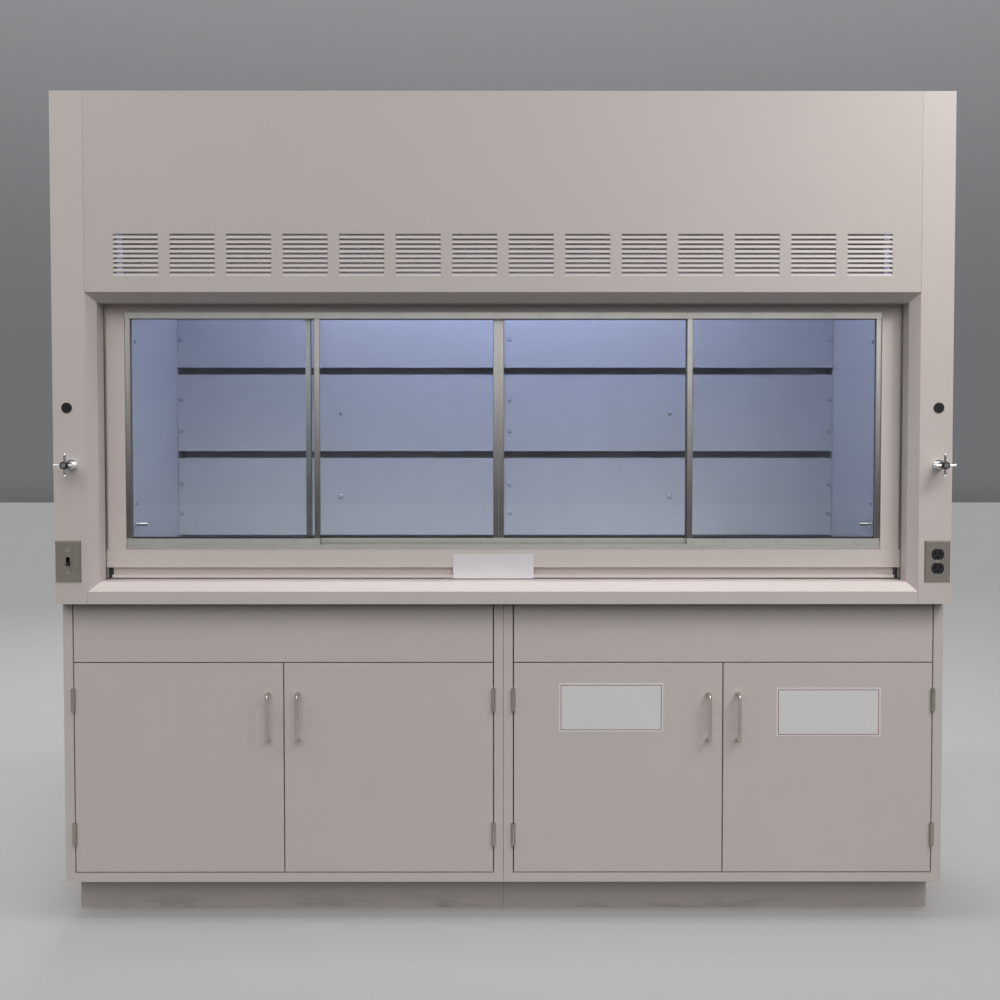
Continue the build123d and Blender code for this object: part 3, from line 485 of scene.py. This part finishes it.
@dataclass(frozen=True)
class StudioFloor(Finish):
    """A plain pale studio floor."""

    colour: Colour = (0.60, 0.595, 0.585)

    def lay_out(self, graph: Graph) -> Signal:
        """Adds the finish's nodes to a graph and returns its shader."""
        cloud = graph.noise(0.8, 3.0)
        colour = graph.shaded(self.colour, 0.97 + cloud * 0.06)
        return graph.principled(Base_Color=colour, Roughness=0.75)


PAINT = PaintedSteel("warm_grey_enamel")
# The header's enamel is a darker copy of the warm grey enamel: painted shade for the dimmer light on the
# header, not a paint of its own.
HEADER_PAINT_SHADED = PaintedSteel("header_enamel_painted_shade", (0.700, 0.632, 0.601))
# The plinths' enamel is a darker copy of the warm grey enamel: painted shade for the shadow low under the
# cabinets. Its scuffs near the floor are wear.
PLINTH_PAINT_SHADED = PaintedSteel("plinth_enamel_painted_shade", (0.575, 0.515, 0.490), scuffs_below=0.05)
BOARD = Board("liner_board", (0.74, 0.73, 0.77), (0.58, 0.59, 0.66), 0.42, streaks=0.035)
RESIN = Board("black_resin_top", (0.020, 0.020, 0.022), (0.09, 0.09, 0.10), 0.30, specks=0.5, streaks=0.1)
RAIL_ALUMINIUM = BrushedMetal("aluminium_rails", (0.61, 0.59, 0.565), 0.42, Grain.ALONG_X, wear=0.12)
STILE_ALUMINIUM = BrushedMetal("aluminium_stiles", (0.66, 0.65, 0.62), 0.42, Grain.ALONG_Z, wear=0.12)
# The pane trims carry a painted reflection that darkens them towards the sash's foot.
TRIM_ALUMINIUM_PAINTED_REFLECTION = BrushedMetal("aluminium_trims_painted_reflection", (0.64, 0.625, 0.60), 0.40, Grain.ALONG_Z, wear=0.12,
                              dark_reflection_heights=(1.63, 1.10, 1.062))
GLASS = SafetyGlass("safety_glass")
LENS = LitPanel("lamp_diffuser", (0.60, 0.70, 1.0), 11.5, (FRONT + 0.232, FRONT + 0.288), 0.6)
TUBES = LitPanel("lamp_tube", (0.68, 0.78, 1.0), 6.0)
ZINC = ZincCoat("hot_dipped_zinc")
PLATE_STEEL = BrushedMetal("brushed_plate_steel", (0.40, 0.365, 0.32), 0.34, Grain.ALONG_Z, wear=0.3)
PULL_STEEL = BrushedMetal("satin_pull_steel", (0.60, 0.57, 0.52), 0.26, Grain.ALONG_Z)
HINGE_STEEL = BrushedMetal("hinge_steel", (0.44, 0.41, 0.37), 0.36, Grain.ALONG_Z, wear=0.35)
CHROME = BrushedMetal("polished_chrome", (0.86, 0.86, 0.85), 0.10, wear=0.06, fineness=300.0)
BLACK_PLASTIC = Plastic("black_moulding", (0.013, 0.013, 0.013), 0.34)
NYLON = Plastic("white_nylon", (0.60, 0.62, 0.68), 0.38)
# The side and top beads are a lighter grey than the black foot bead: painted light on beads that sit in the
# panes' shade.
GASKET_PAINTED_LIGHT = Plastic("glazing_vinyl_painted_light", (0.26, 0.26, 0.27), 0.55)
FOOT_GASKET = Plastic("black_glazing_vinyl", (0.028, 0.028, 0.032), 0.55)
TEAL_INDEX = Plastic("teal_index", (0.015, 0.075, 0.07), 0.3)
GREY_INDEX = Plastic("grey_index", (0.05, 0.05, 0.048), 0.3)
WIRE = BrushedMetal("wire_strand", (0.46, 0.46, 0.45), 0.34, wear=0.3)
CASTING = RoughCasting("weight_casting")
TURNED_STEEL = BrushedMetal("turned_steel", (0.52, 0.52, 0.51), 0.28, wear=0.22)
FOOT_STEEL = BrushedMetal("foot_zinc_plate", (0.46, 0.46, 0.44), 0.38, wear=0.3)
FILM = PrintedFilm("label_film", (0.90, 0.885, 0.885))
CARD = PrintedFilm("card_face", (0.84, 0.81, 0.83), 0.45)
RED_LINE = PrintedFilm("label_red_line", (0.30, 0.025, 0.04))


@dataclass
class Palette:
    """Makes each finish's material once."""

    made: dict[Finish, bpy.types.Material] = field(default_factory=dict)

    def material(self, finish: Finish) -> bpy.types.Material:
        """Gives a finish's material, making it at its first use."""
        if finish not in self.made:
            self.made[finish] = bpy.data.materials.new(finish.name)
            graph = Graph(self.made[finish])
            graph.finish(finish.lay_out(graph))
        return self.made[finish]

    def dress(self, finish: Finish, *nodes: str) -> None:
        """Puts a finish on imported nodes.

        Args:
            finish: The finish.
            nodes: The nodes' names.
        """
        material = self.material(finish)
        for name in nodes:
            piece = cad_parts[name]
            if not piece.material_slots:
                piece.data.materials.append(material)
            for place in piece.material_slots:
                place.material = material
        log.info("%s on %s", finish.name, ", ".join(nodes))


PALETTE = Palette()


# ---------------------------------------------------------------- mesh making
class Shape:
    """A mesh in the making. Its methods are bmesh operators on places given in metres."""

    def __init__(self) -> None:
        """Starts an empty mesh."""
        self.mesh = bmesh.new()

    def block(self, low: Point | Vector, high: Point | Vector) -> list[bmesh.types.BMVert]:
        """Adds a box between two corners and returns its vertices."""
        low, high = Vector(low), Vector(high)
        move = Matrix.Translation((low + high) / 2) @ Matrix.Diagonal((*(high - low), 1.0))
        return bmesh.ops.create_cube(self.mesh, size=1.0, matrix=move)["verts"]

    def rod(self, centre: Vector, toward: Vector, length: float, radius: float,
            end_radius: float | None = None, sides: int = 24) -> list[bmesh.types.BMVert]:
        """Adds a round bar or a cone.

        Args:
            centre: Its middle.
            toward: The way its second end points.
            length: Its length.
            radius: The radius of its first end.
            end_radius: The radius of its second end, where that differs.
            sides: How many flats stand for its roundness.

        Returns:
            Its vertices.
        """
        turn = Vector(toward).to_track_quat("Z", "Y").to_matrix().to_4x4()
        last = radius if end_radius is None else end_radius
        made = bmesh.ops.create_cone(
            self.mesh, cap_ends=True, segments=sides, radius1=radius, radius2=last, depth=length,
            matrix=Matrix.Translation(centre) @ turn)
        return made["verts"]

    def edges_of(self, verts: Iterable[bmesh.types.BMVert], sharper: float = 0.5) -> list[bmesh.types.BMEdge]:
        """Gives the edges between these vertices where the faces turn by more than an angle in radians."""
        found = set(verts)
        edges = {e for v in found for e in v.link_edges if e.other_vert(v) in found}
        return [e for e in edges if len(e.link_faces) == 2 and e.calc_face_angle() > sharper]

    def soften(self, edges: Iterable[bmesh.types.BMEdge], width: float, segments: int = 2) -> None:
        """Rounds edges off."""
        bmesh.ops.bevel(self.mesh, geom=list(edges), offset=width, offset_type="OFFSET", segments=segments,
                        profile=0.5, affect="EDGES", material=-1, clamp_overlap=True)

    def front_faces(self, verts: Iterable[bmesh.types.BMVert], toward: Vector) -> list[bmesh.types.BMFace]:
        """Gives the faces of these vertices that look one way."""
        self.mesh.normal_update()
        found = {f for v in verts if v.is_valid for f in v.link_faces}
        return [f for f in found if f.normal.dot(toward) > 0.9]

    def place_as(self, name: str, finishes: Sequence[Finish], body: str, slot: str = "", smooth: bool = True
                 ) -> bpy.types.Object:
        """Turns the mesh into a piece that rides on a body.

        Args:
            name: The piece's name.
            finishes: Its finishes, in the order of its faces' material numbers.
            body: The body that it moves with.
            slot: A material slot of the record. Not used.
            smooth: Whether its round faces are shaded as round.

        Returns:
            The piece.
        """
        bmesh.ops.recalc_face_normals(self.mesh, faces=self.mesh.faces)
        data = bpy.data.meshes.new(name)
        self.mesh.to_mesh(data)
        self.mesh.free()
        for finish in finishes:
            data.materials.append(PALETTE.material(finish))
        if smooth:
            data.shade_smooth()
            data.set_sharp_from_angle(angle=math.radians(38))
        piece = bpy.data.objects.new(name, data)
        bpy.context.scene.collection.objects.link(piece)
        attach(piece, body)
        log.info("%s: %d faces on %s", name, len(data.polygons), body)
        return piece


# ---------------------------------------------------------------- the hood's outer shell
@dataclass
class Shell:
    """Posts, header, sill, side panels and the steel frame behind them."""

    half_width: float = 1.219
    screw_depths: tuple[float, ...] = (0.060, 0.420, 0.785)
    screw_rows: tuple[float, ...] = (0.930, 1.360, 1.790, 2.225)
    screw_radius: float = 0.0048
    washer_height: float = 0.0012
    head_height: float = 0.0034
    head_edge: float = 0.0006

    def build(self) -> None:
        """Dresses the shell and adds the screws of its side panels."""
        PALETTE.dress(PAINT, "left_post", "right_post", "sill", "side_panels")
        # The header takes the darker copy of the enamel, with painted shade.
        PALETTE.dress(HEADER_PAINT_SHADED, "header_panel")
        PALETTE.dress(ZINC, "top_frame")
        for name, side in SIDES.items():
            self.side_screws(name, side)

    def side_screws(self, name: str, side: int) -> None:
        """Adds the flanged hexagon screws that hold one side panel.

        Args:
            name: Which side, in a word.
            side: 1 for the right, -1 for the left.
        """
        shape = Shape()
        outward = Vector((side, 0.0, 0.0))
        for depth in self.screw_depths:
            for z in self.screw_rows:
                seat = at(side * self.half_width, depth, z)
                shape.rod(seat + outward * self.washer_height / 2, outward, self.washer_height,
                          self.screw_radius * 1.45, self.screw_radius * 1.25, sides=20)
                rise = self.washer_height - 0.0001 + self.head_height / 2
                head = shape.rod(seat + outward * rise, outward, self.head_height, self.screw_radius, sides=6)
                top = shape.front_faces(head, outward)
                shape.soften([e for f in top for e in f.edges], self.head_edge)
        shape.place_as(f"{name}_panel_screws", [HINGE_STEEL], "hood", "stainless")


# ---------------------------------------------------------------- the chamber
@dataclass
class Chamber:
    """Linings, baffles, work surface, exhaust collars and the ceiling lamp."""

    def build(self) -> None:
        """Dresses the chamber."""
        PALETTE.dress(BOARD, "left_liner", "right_liner", "rear_liner", "ceiling_liner", "baffle_panels")
        PALETTE.dress(NYLON, "baffle_fixings")
        PALETTE.dress(RESIN, "work_surface")
        PALETTE.dress(ZINC, "exhaust_collars", "light_housing")
        PALETTE.dress(LENS, "light_lens")
        PALETTE.dress(TUBES, "light_tubes")


# ---------------------------------------------------------------- services on the posts
@dataclass
class Services:
    """Valves, plugs, switch and receptacle on the posts."""

    valve_x: dict[str, float] = field(default_factory=lambda: {"left": -1.169, "right": 1.181})
    valve_z: float = 1.268
    hub_radius: float = 0.0106
    hub_depths: tuple[float, float] = (-0.0605, -0.0385)
    hub_rim: float = 0.0016
    index_groove: float = 0.0005
    index_depth: float = 0.0006

    def build(self) -> None:
        """Dresses the fixtures and adds the valves' moulded hubs."""
        PALETTE.dress(CHROME, "service_fittings", "left_valve_handle", "right_valve_handle")
        PALETTE.dress(BLACK_PLASTIC, "hole_plugs", "wiring_devices", "switch_toggle")
        PALETTE.dress(PLATE_STEEL, "cover_plates")
        PALETTE.dress(PULL_STEEL, "plate_screws")
        self.hub("left", GREY_INDEX)
        self.hub("right", TEAL_INDEX)

    def hub(self, name: str, index: Finish) -> None:
        """Adds the black hub of one valve handle, with its coloured index disc.

        Args:
            name: Which side, in a word.
            index: The finish of the disc.
        """
        shape = Shape()
        toward = Vector((0.0, -1.0, 0.0))
        length = self.hub_depths[1] - self.hub_depths[0]
        centre = at(self.valve_x[name], sum(self.hub_depths) / 2, self.valve_z)
        body = shape.rod(centre, toward, length, self.hub_radius, self.hub_radius * 0.94, sides=40)
        face = shape.front_faces(body, toward)
        shape.soften([e for f in face for e in f.edges], self.hub_rim, 3)
        face = sorted(shape.front_faces(shape.mesh.verts, toward), key=lambda f: f.calc_area())[-1:]
        bmesh.ops.inset_region(shape.mesh, faces=face, thickness=self.hub_rim, depth=0.0)
        bmesh.ops.inset_region(shape.mesh, faces=face, thickness=self.index_groove, depth=-self.index_depth)
        for disc in face:
            disc.material_index = 1
        shape.place_as(f"{name}_valve_hub", [BLACK_PLASTIC, index], f"{name}_valve", "black_plastic")


# ---------------------------------------------------------------- the sash
@dataclass
class Sash:
    """The sash, its sliding panes and what is stuck to it."""

    pane_left: tuple[float, ...] = (-1.0495, -0.552, -0.0135, 0.5115)
    pane_depth: tuple[float, ...] = (0.08575, 0.10225, 0.10225, 0.08575)
    pane_width: float = 0.538
    window_edge: float = 0.014
    window_z: tuple[float, float] = (1.0615, 1.672)
    bead: float = 0.0009
    foot_bead: float = 0.0036
    bead_depths: tuple[float, float] = (0.0026, 0.0060)
    bead_lip: float = 0.0005
    card_x: tuple[float, float] = (-0.140, 0.084)
    card_depth: tuple[float, float] = (0.0728, 0.0746)
    card_z: tuple[float, float] = (0.9500, 1.0170)
    card_corner: float = 0.002

    def build(self) -> None:
        """Dresses the sash and adds the panes' glazing beads and the blank card."""
        PALETTE.dress(PAINT, "sash_frame", "sash_handle")
        PALETTE.dress(RAIL_ALUMINIUM, "sash_tracks")
        PALETTE.dress(STILE_ALUMINIUM, "sash_guides")
        for number in range(1, 5):
            PALETTE.dress(TRIM_ALUMINIUM_PAINTED_REFLECTION, f"pane_{number}_trim")
            PALETTE.dress(GLASS, f"pane_{number}_glass")
            self.glazing_bead(number)
        self.card()

    def glazing_bead(self, number: int) -> None:
        """Adds the vinyl bead round one pane's window.

        Args:
            number: The pane's number, from the left.
        """
        shape = Shape()
        left = self.pane_left[number - 1] + self.window_edge
        right = self.pane_left[number - 1] + self.pane_width - self.window_edge
        depth, lip = self.pane_depth[number - 1], self.bead_lip
        low, high = self.window_z
        inner, outer = self.bead_depths
        for near, far in ((-outer, -inner), (inner, outer)):
            for x in ((left - lip, left + self.bead), (right - self.bead, right + lip)):
                shape.block(at(x[0], depth + near, low - lip), at(x[1], depth + far, high + lip))
            shape.block(at(left + self.bead, depth + near, high - self.bead),
                        at(right - self.bead, depth + far, high + lip))
            foot = shape.block(at(left + self.bead, depth + near, low - lip),
                               at(right - self.bead, depth + far, low + self.foot_bead))
            for face in {f for v in foot for f in v.link_faces}:
                face.material_index = 1
        # The side and top beads take the lighter grey with painted light; the foot bead is black vinyl.
        shape.place_as(f"pane_{number}_bead", [GASKET_PAINTED_LIGHT, FOOT_GASKET], f"pane_{number}", smooth=False)

    def card(self) -> None:
        """Adds the blank card that stands against the sash handle."""
        shape = Shape()
        low, high = zip(self.card_x, self.card_depth, self.card_z)
        slab = shape.block(at(*low), at(*high))
        corners = [e for e in shape.edges_of(slab) if abs((e.verts[0].co - e.verts[1].co).y) > 0.0005]
        shape.soften(corners, self.card_corner)
        shape.place_as("sash_card", [CARD], "sash")


# ---------------------------------------------------------------- the counterbalance
@dataclass
class Counterbalance:
    """Wire ropes, sheaves and weights that carry the sash."""

    x: float = 1.150
    rope_radius: float = 0.0015
    strands: int = 6
    lay: float = 0.014
    rings_per_lay: int = 8
    sheave_z: float = 2.228
    sheave_radius: float = 0.035
    front_depth: float = 0.117
    rear_depth: float = 0.537
    arm_top: float = 1.7353
    weight_top: float = 2.1503
    travel: float = 0.457
    sleeve_radius: float = 0.0032
    sash_sleeve: float = 0.009
    weight_sleeve: float = 0.020
    nut_height: float = 0.0036
    nut_radius: float = 0.0058

    def build(self) -> None:
        """Dresses the sheaves and weights, and strings the ropes."""
        PALETTE.dress(TURNED_STEEL, "front_sheaves", "rear_sheaves")
        PALETTE.dress(CASTING, "counterweights")
        for name, side in SIDES.items():
            self.string(name, side)
            sash_end = at(side * self.x, self.front_depth, self.arm_top)
            weight_end = at(side * self.x, self.rear_depth, self.weight_top)
            self.ferrule(f"{name}_sash_ferrule", sash_end, self.sash_sleeve, "sash")
            self.ferrule(f"{name}_weight_ferrule", weight_end, self.weight_sleeve, "counterweights")

    def straight_rope(self, length: float) -> Shape:
        """Lays a straight stranded rope upwards from the origin.

        Args:
            length: Its length.

        Returns:
            The rope.
        """
        shape = Shape()
        turns = length / self.lay
        steps = max(2, round(turns * self.rings_per_lay))
        strand_radius = self.rope_radius * 0.40
        for number in range(self.strands):
            angle = 2 * math.pi * number / self.strands
            centre = Vector((math.cos(angle), math.sin(angle), 0.0)) * (self.rope_radius - strand_radius)
            ring = bmesh.ops.create_circle(shape.mesh, cap_ends=False, segments=5, radius=strand_radius,
                                           matrix=Matrix.Translation(centre))["verts"]
            edges = list({e for v in ring for e in v.link_edges})
            bmesh.ops.spin(shape.mesh, geom=ring + edges, cent=(0, 0, 0), axis=(0, 0, 1),
                           dvec=(0, 0, length / steps), angle=2 * math.pi * turns, steps=steps,
                           use_merge=False)
        core = bmesh.ops.create_cone(shape.mesh, cap_ends=True, segments=6, radius1=self.rope_radius * 0.5,
                                     radius2=self.rope_radius * 0.5, depth=length,
                                     matrix=Matrix.Translation((0, 0, length / 2)))["verts"]
        core_edges = {e for v in core for e in v.link_edges}
        long_edges = [e for e in core_edges if e.calc_length() > length / 2]
        bmesh.ops.subdivide_edges(shape.mesh, edges=long_edges, cuts=steps - 1, use_grid_fill=False)
        loose = [e for e in shape.mesh.edges if e.is_boundary]
        bmesh.ops.holes_fill(shape.mesh, edges=loose, sides=5)
        return shape

    def over_the_sheaves(self, point: Vector, side: int) -> Vector:
        """Moves a point of a straight rope onto the run over both sheaves.

        Args:
            point: A point of a rope laid upwards from the origin.
            side: 1 for the right, -1 for the left.

        Returns:
            Its place on the hood.
        """
        quarter = self.sheave_radius * math.pi / 2
        flat = self.rear_depth - self.front_depth - 2 * self.sheave_radius
        run = point.z
        if run < quarter or run > quarter + flat:
            passed = 0.0 if run < quarter else flat
            angle = (run - passed) / self.sheave_radius
            hub = self.front_depth + self.sheave_radius + passed
            reach = self.sheave_radius + point.y
            return at(side * self.x + point.x, hub - math.cos(angle) * reach,
                      self.sheave_z + math.sin(angle) * reach)
        depth = self.front_depth + self.sheave_radius + run - quarter
        return at(side * self.x + point.x, depth, self.sheave_z + self.sheave_radius + point.y)

    def string(self, name: str, side: int) -> None:
        """Strings one rope: the sash's run, the run over the sheaves, and the weight's run.

        Args:
            name: Which side, in a word.
            side: 1 for the right, -1 for the left.
        """
        length = self.sheave_z - self.arm_top
        shape = self.straight_rope(length)
        sash_end = at(side * self.x, self.front_depth, self.arm_top)
        bmesh.ops.translate(shape.mesh, vec=sash_end, verts=shape.mesh.verts)
        front = shape.place_as(f"{name}_rope_front", [WIRE], "hood", "wire_rope")
        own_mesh(front)
        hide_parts("sash_cables")

        quarter = self.sheave_radius * math.pi / 2
        shape = self.straight_rope(2 * quarter + self.rear_depth - self.front_depth - 2 * self.sheave_radius)
        for vert in shape.mesh.verts:
            vert.co = self.over_the_sheaves(vert.co, side)
        shape.place_as(f"{name}_rope_top", [WIRE], "hood", "wire_rope")

        shape = self.straight_rope(self.sheave_z - self.weight_top)
        weight_end = at(side * self.x, self.rear_depth, self.weight_top)
        bmesh.ops.translate(shape.mesh, vec=weight_end, verts=shape.mesh.verts)
        rear = shape.place_as(f"{name}_rope_rear", [WIRE], "hood", "wire_rope")
        rear.parent = None
        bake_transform(rear)

    def ferrule(self, name: str, foot: Vector, height: float, body: str) -> None:
        """Adds the pressed sleeve at a rope's end, and its nut.

        Args:
            name: The piece's name.
            foot: The middle of its foot.
            height: How tall it is. The sash's sleeves are short, so that they clear the sheaves.
            body: The body that it moves with.
        """
        shape = Shape()
        up = Vector((0.0, 0.0, 1.0))
        sleeve = shape.rod(foot + up * height / 2, up, height, self.sleeve_radius, sides=20)
        shape.soften(shape.edges_of(sleeve, 1.0), 0.0008)
        nut = shape.rod(foot + up * self.nut_height / 2, up, self.nut_height, self.nut_radius, sides=6)
        shape.soften(shape.edges_of(nut, 1.2), 0.0005)
        shape.place_as(name, [FOOT_STEEL], body)


# ---------------------------------------------------------------- the base cabinets
@dataclass
class BaseCabinets:
    """Cabinets, aprons, doors, hinges, pulls and the blank labels on two doors."""

    pull_x: tuple[float, ...] = (-0.6505, -0.5685, 0.5685, 0.6505)
    pull_z: float = 0.570
    face_depth: float = 0.051
    label_size: tuple[float, float] = (0.290, 0.136)
    label_depths: tuple[float, float] = (-0.0006, 0.0002)
    label_margin: float = 0.007
    label_line: float = 0.0025
    label_middles: dict[int, tuple[float, float]] = field(
        default_factory=lambda: {3: (0.299, 0.593), 4: (0.903, 0.580)})

    def build(self) -> None:
        """Dresses the cabinets and adds the labels."""
        PALETTE.dress(PAINT, "left_cabinet", "right_cabinet", "apron_panels", "cabinet_shelves")
        # The plinths take the darker copy of the enamel, with painted shade.
        PALETTE.dress(PLINTH_PAINT_SHADED, "plinths")
        PALETTE.dress(FOOT_STEEL, "levelling_feet")
        PALETTE.dress(HINGE_STEEL, "cabinet_hinges")
        for number, x in enumerate(self.pull_x, start=1):
            handled_at = (x, FRONT + self.face_depth, self.pull_z)
            paint = PaintedSteel(f"door_{number}_enamel", handled_at=handled_at)
            PALETTE.dress(paint, f"door_{number}")
            PALETTE.dress(PULL_STEEL, f"door_{number}_pull")
            PALETTE.dress(HINGE_STEEL, f"door_{number}_hinge_leaves")
        for number, middle in self.label_middles.items():
            self.label(number, *middle)

    def label(self, number: int, x: float, z: float) -> None:
        """Adds a blank label with a plain red border to a door.

        Args:
            number: The door's number.
            x: The label's middle.
            z: The height of its middle.
        """
        shape = Shape()
        half_width, half_height = self.label_size[0] / 2, self.label_size[1] / 2
        near, far = (self.face_depth + step for step in self.label_depths)
        slab = shape.block(at(x - half_width, near, z - half_height),
                           at(x + half_width, far, z + half_height))
        toward = Vector((0.0, -1.0, 0.0))
        face = shape.front_faces(slab, toward)
        bmesh.ops.inset_region(shape.mesh, faces=face, thickness=self.label_margin, depth=0.0)
        border = bmesh.ops.inset_region(shape.mesh, faces=face, thickness=self.label_line, depth=0.0)["faces"]
        for strip in border:
            strip.material_index = 1
        shape.place_as(f"door_{number}_label", [FILM, RED_LINE], f"door_{number}", smooth=False)


# ---------------------------------------------------------------- camera, lights and floor
class LampKind(Enum):
    """The kinds of lamp in the studio."""

    FAR = "SUN"
    SOFTBOX = "AREA"


@dataclass
class Lamp:
    """A soft lamp. A far one has an angle for its size, in degrees, and a softbox has two sides."""

    name: str
    kind: LampKind
    place: Point
    target: Point
    size: tuple[float, float]
    power: float
    spread: float = 180.0
    colour: Colour = (1.0, 0.985, 0.965)

    def build(self) -> None:
        """Hangs the lamp and points it."""
        data = bpy.data.lights.new(self.name, self.kind.value)
        if self.kind is LampKind.FAR:
            data.angle = math.radians(self.size[0])
        else:
            data.shape = "RECTANGLE"
            data.size, data.size_y = self.size
            data.spread = math.radians(self.spread)
        data.energy = self.power
        data.color = self.colour
        lamp = bpy.data.objects.new(self.name, data)
        lamp.location = self.place
        aim = Vector(self.target) - Vector(self.place)
        lamp.rotation_euler = aim.to_track_quat("-Z", "Y").to_euler()
        bpy.context.scene.collection.objects.link(lamp)
        log.info("lamp %s", self.name)


@dataclass
class Studio:
    """Camera, floor, sky and lamps."""

    camera_place: Point = (0.033, FRONT - 3.0408, 1.340)
    tilt_down: float = 0.0305
    turn_right: float = 0.0018
    lens: float = 40.37
    shift: tuple[float, float] = (-0.0173, -0.0274)
    floor_half: float = 20.0
    sky_low: Colour = (0.035, 0.035, 0.036)
    sky_horizon: Colour = (0.155, 0.158, 0.165)
    sky_high: Colour = (0.44, 0.45, 0.47)
    lamps: tuple[Lamp, ...] = (
        Lamp("front_lamp", LampKind.FAR, (0.5, -4.0, 2.9), (0.0, 0.0, 0.0), (55.0, 0.0), 1.05),
        Lamp("overhead_strip", LampKind.SOFTBOX, (0.0, -0.62, 5.0), (0.0, -0.55, 0.0), (3.4, 0.35), 40.0),
        Lamp("right_lamp", LampKind.SOFTBOX, (2.2, -2.0, 3.3), (1.25, -0.38, 1.95), (0.9, 0.9), 5.2, 80.0),
        Lamp("left_lamp", LampKind.SOFTBOX, (-2.4, -2.0, 3.3), (-1.35, -0.38, 2.1), (0.9, 0.9), 1.4, 80.0),
        Lamp("rear_lamp", LampKind.SOFTBOX, (-1.0, 4.2, 3.6), (0.0, 0.0, 1.0), (3.0, 2.0), 60.0),
    )

    def build(self) -> None:
        """Sets up the studio."""
        scene = bpy.context.scene
        scene.view_settings.view_transform = "Standard"
        data = bpy.data.cameras.new("front_camera")
        data.sensor_width, data.lens = 36.0, self.lens
        data.shift_x, data.shift_y = self.shift
        data.clip_start, data.clip_end = 0.05, 100.0
        camera = bpy.data.objects.new("front_camera", data)
        camera.location = self.camera_place
        camera.rotation_euler = (math.pi / 2 - self.tilt_down, 0.0, -self.turn_right)
        scene.collection.objects.link(camera)
        scene.camera = camera
        self.build_sky()
        self.build_floor()
        for lamp in self.lamps:
            lamp.build()

    def build_sky(self) -> None:
        """Makes the sky, which is darker towards the ground, as a big studio is."""
        world = bpy.data.worlds.new("studio_sky")
        bpy.context.scene.world = world
        graph = Graph(world)
        way = Signal(graph, graph.node("TexCoord").outputs["Generated"])
        height = Signal(graph, graph.node("SeparateXYZ", {"Vector": way}).outputs["Z"])
        colour = graph.blend(height.ramp(-0.02, -0.12), self.sky_horizon, self.sky_low)
        colour = graph.blend(height.ramp(0.05, 0.75), colour, self.sky_high)
        background = graph.node("Background", {"Color": colour, "Strength": 1.0})
        graph.finish(Signal(graph, background.outputs["Background"]), "OutputWorld")

    def build_floor(self) -> None:
        """Lays the floor. It shows, and takes shadows, but throws no light up at the hood."""
        mesh = bmesh.new()
        bmesh.ops.create_grid(mesh, x_segments=4, y_segments=4, size=self.floor_half)
        data = bpy.data.meshes.new("studio_floor")
        mesh.to_mesh(data)
        mesh.free()
        data.materials.append(PALETTE.material(StudioFloor("pale_floor")))
        floor = bpy.data.objects.new("studio_floor", data)
        floor.visible_diffuse = False
        bpy.context.scene.collection.objects.link(floor)
        log.info("floor laid")


def main() -> None:
    """Builds the studio and every sub-assembly, in order."""
    logging.basicConfig(level=logging.INFO, format="%(name)s: %(message)s")
    for part in (Studio(), Shell(), Chamber(), Services(), Sash(), Counterbalance(), BaseCabinets()):
        log.info("building %s", type(part).__name__)
        part.build()


if __name__ == "__main__":
    main()
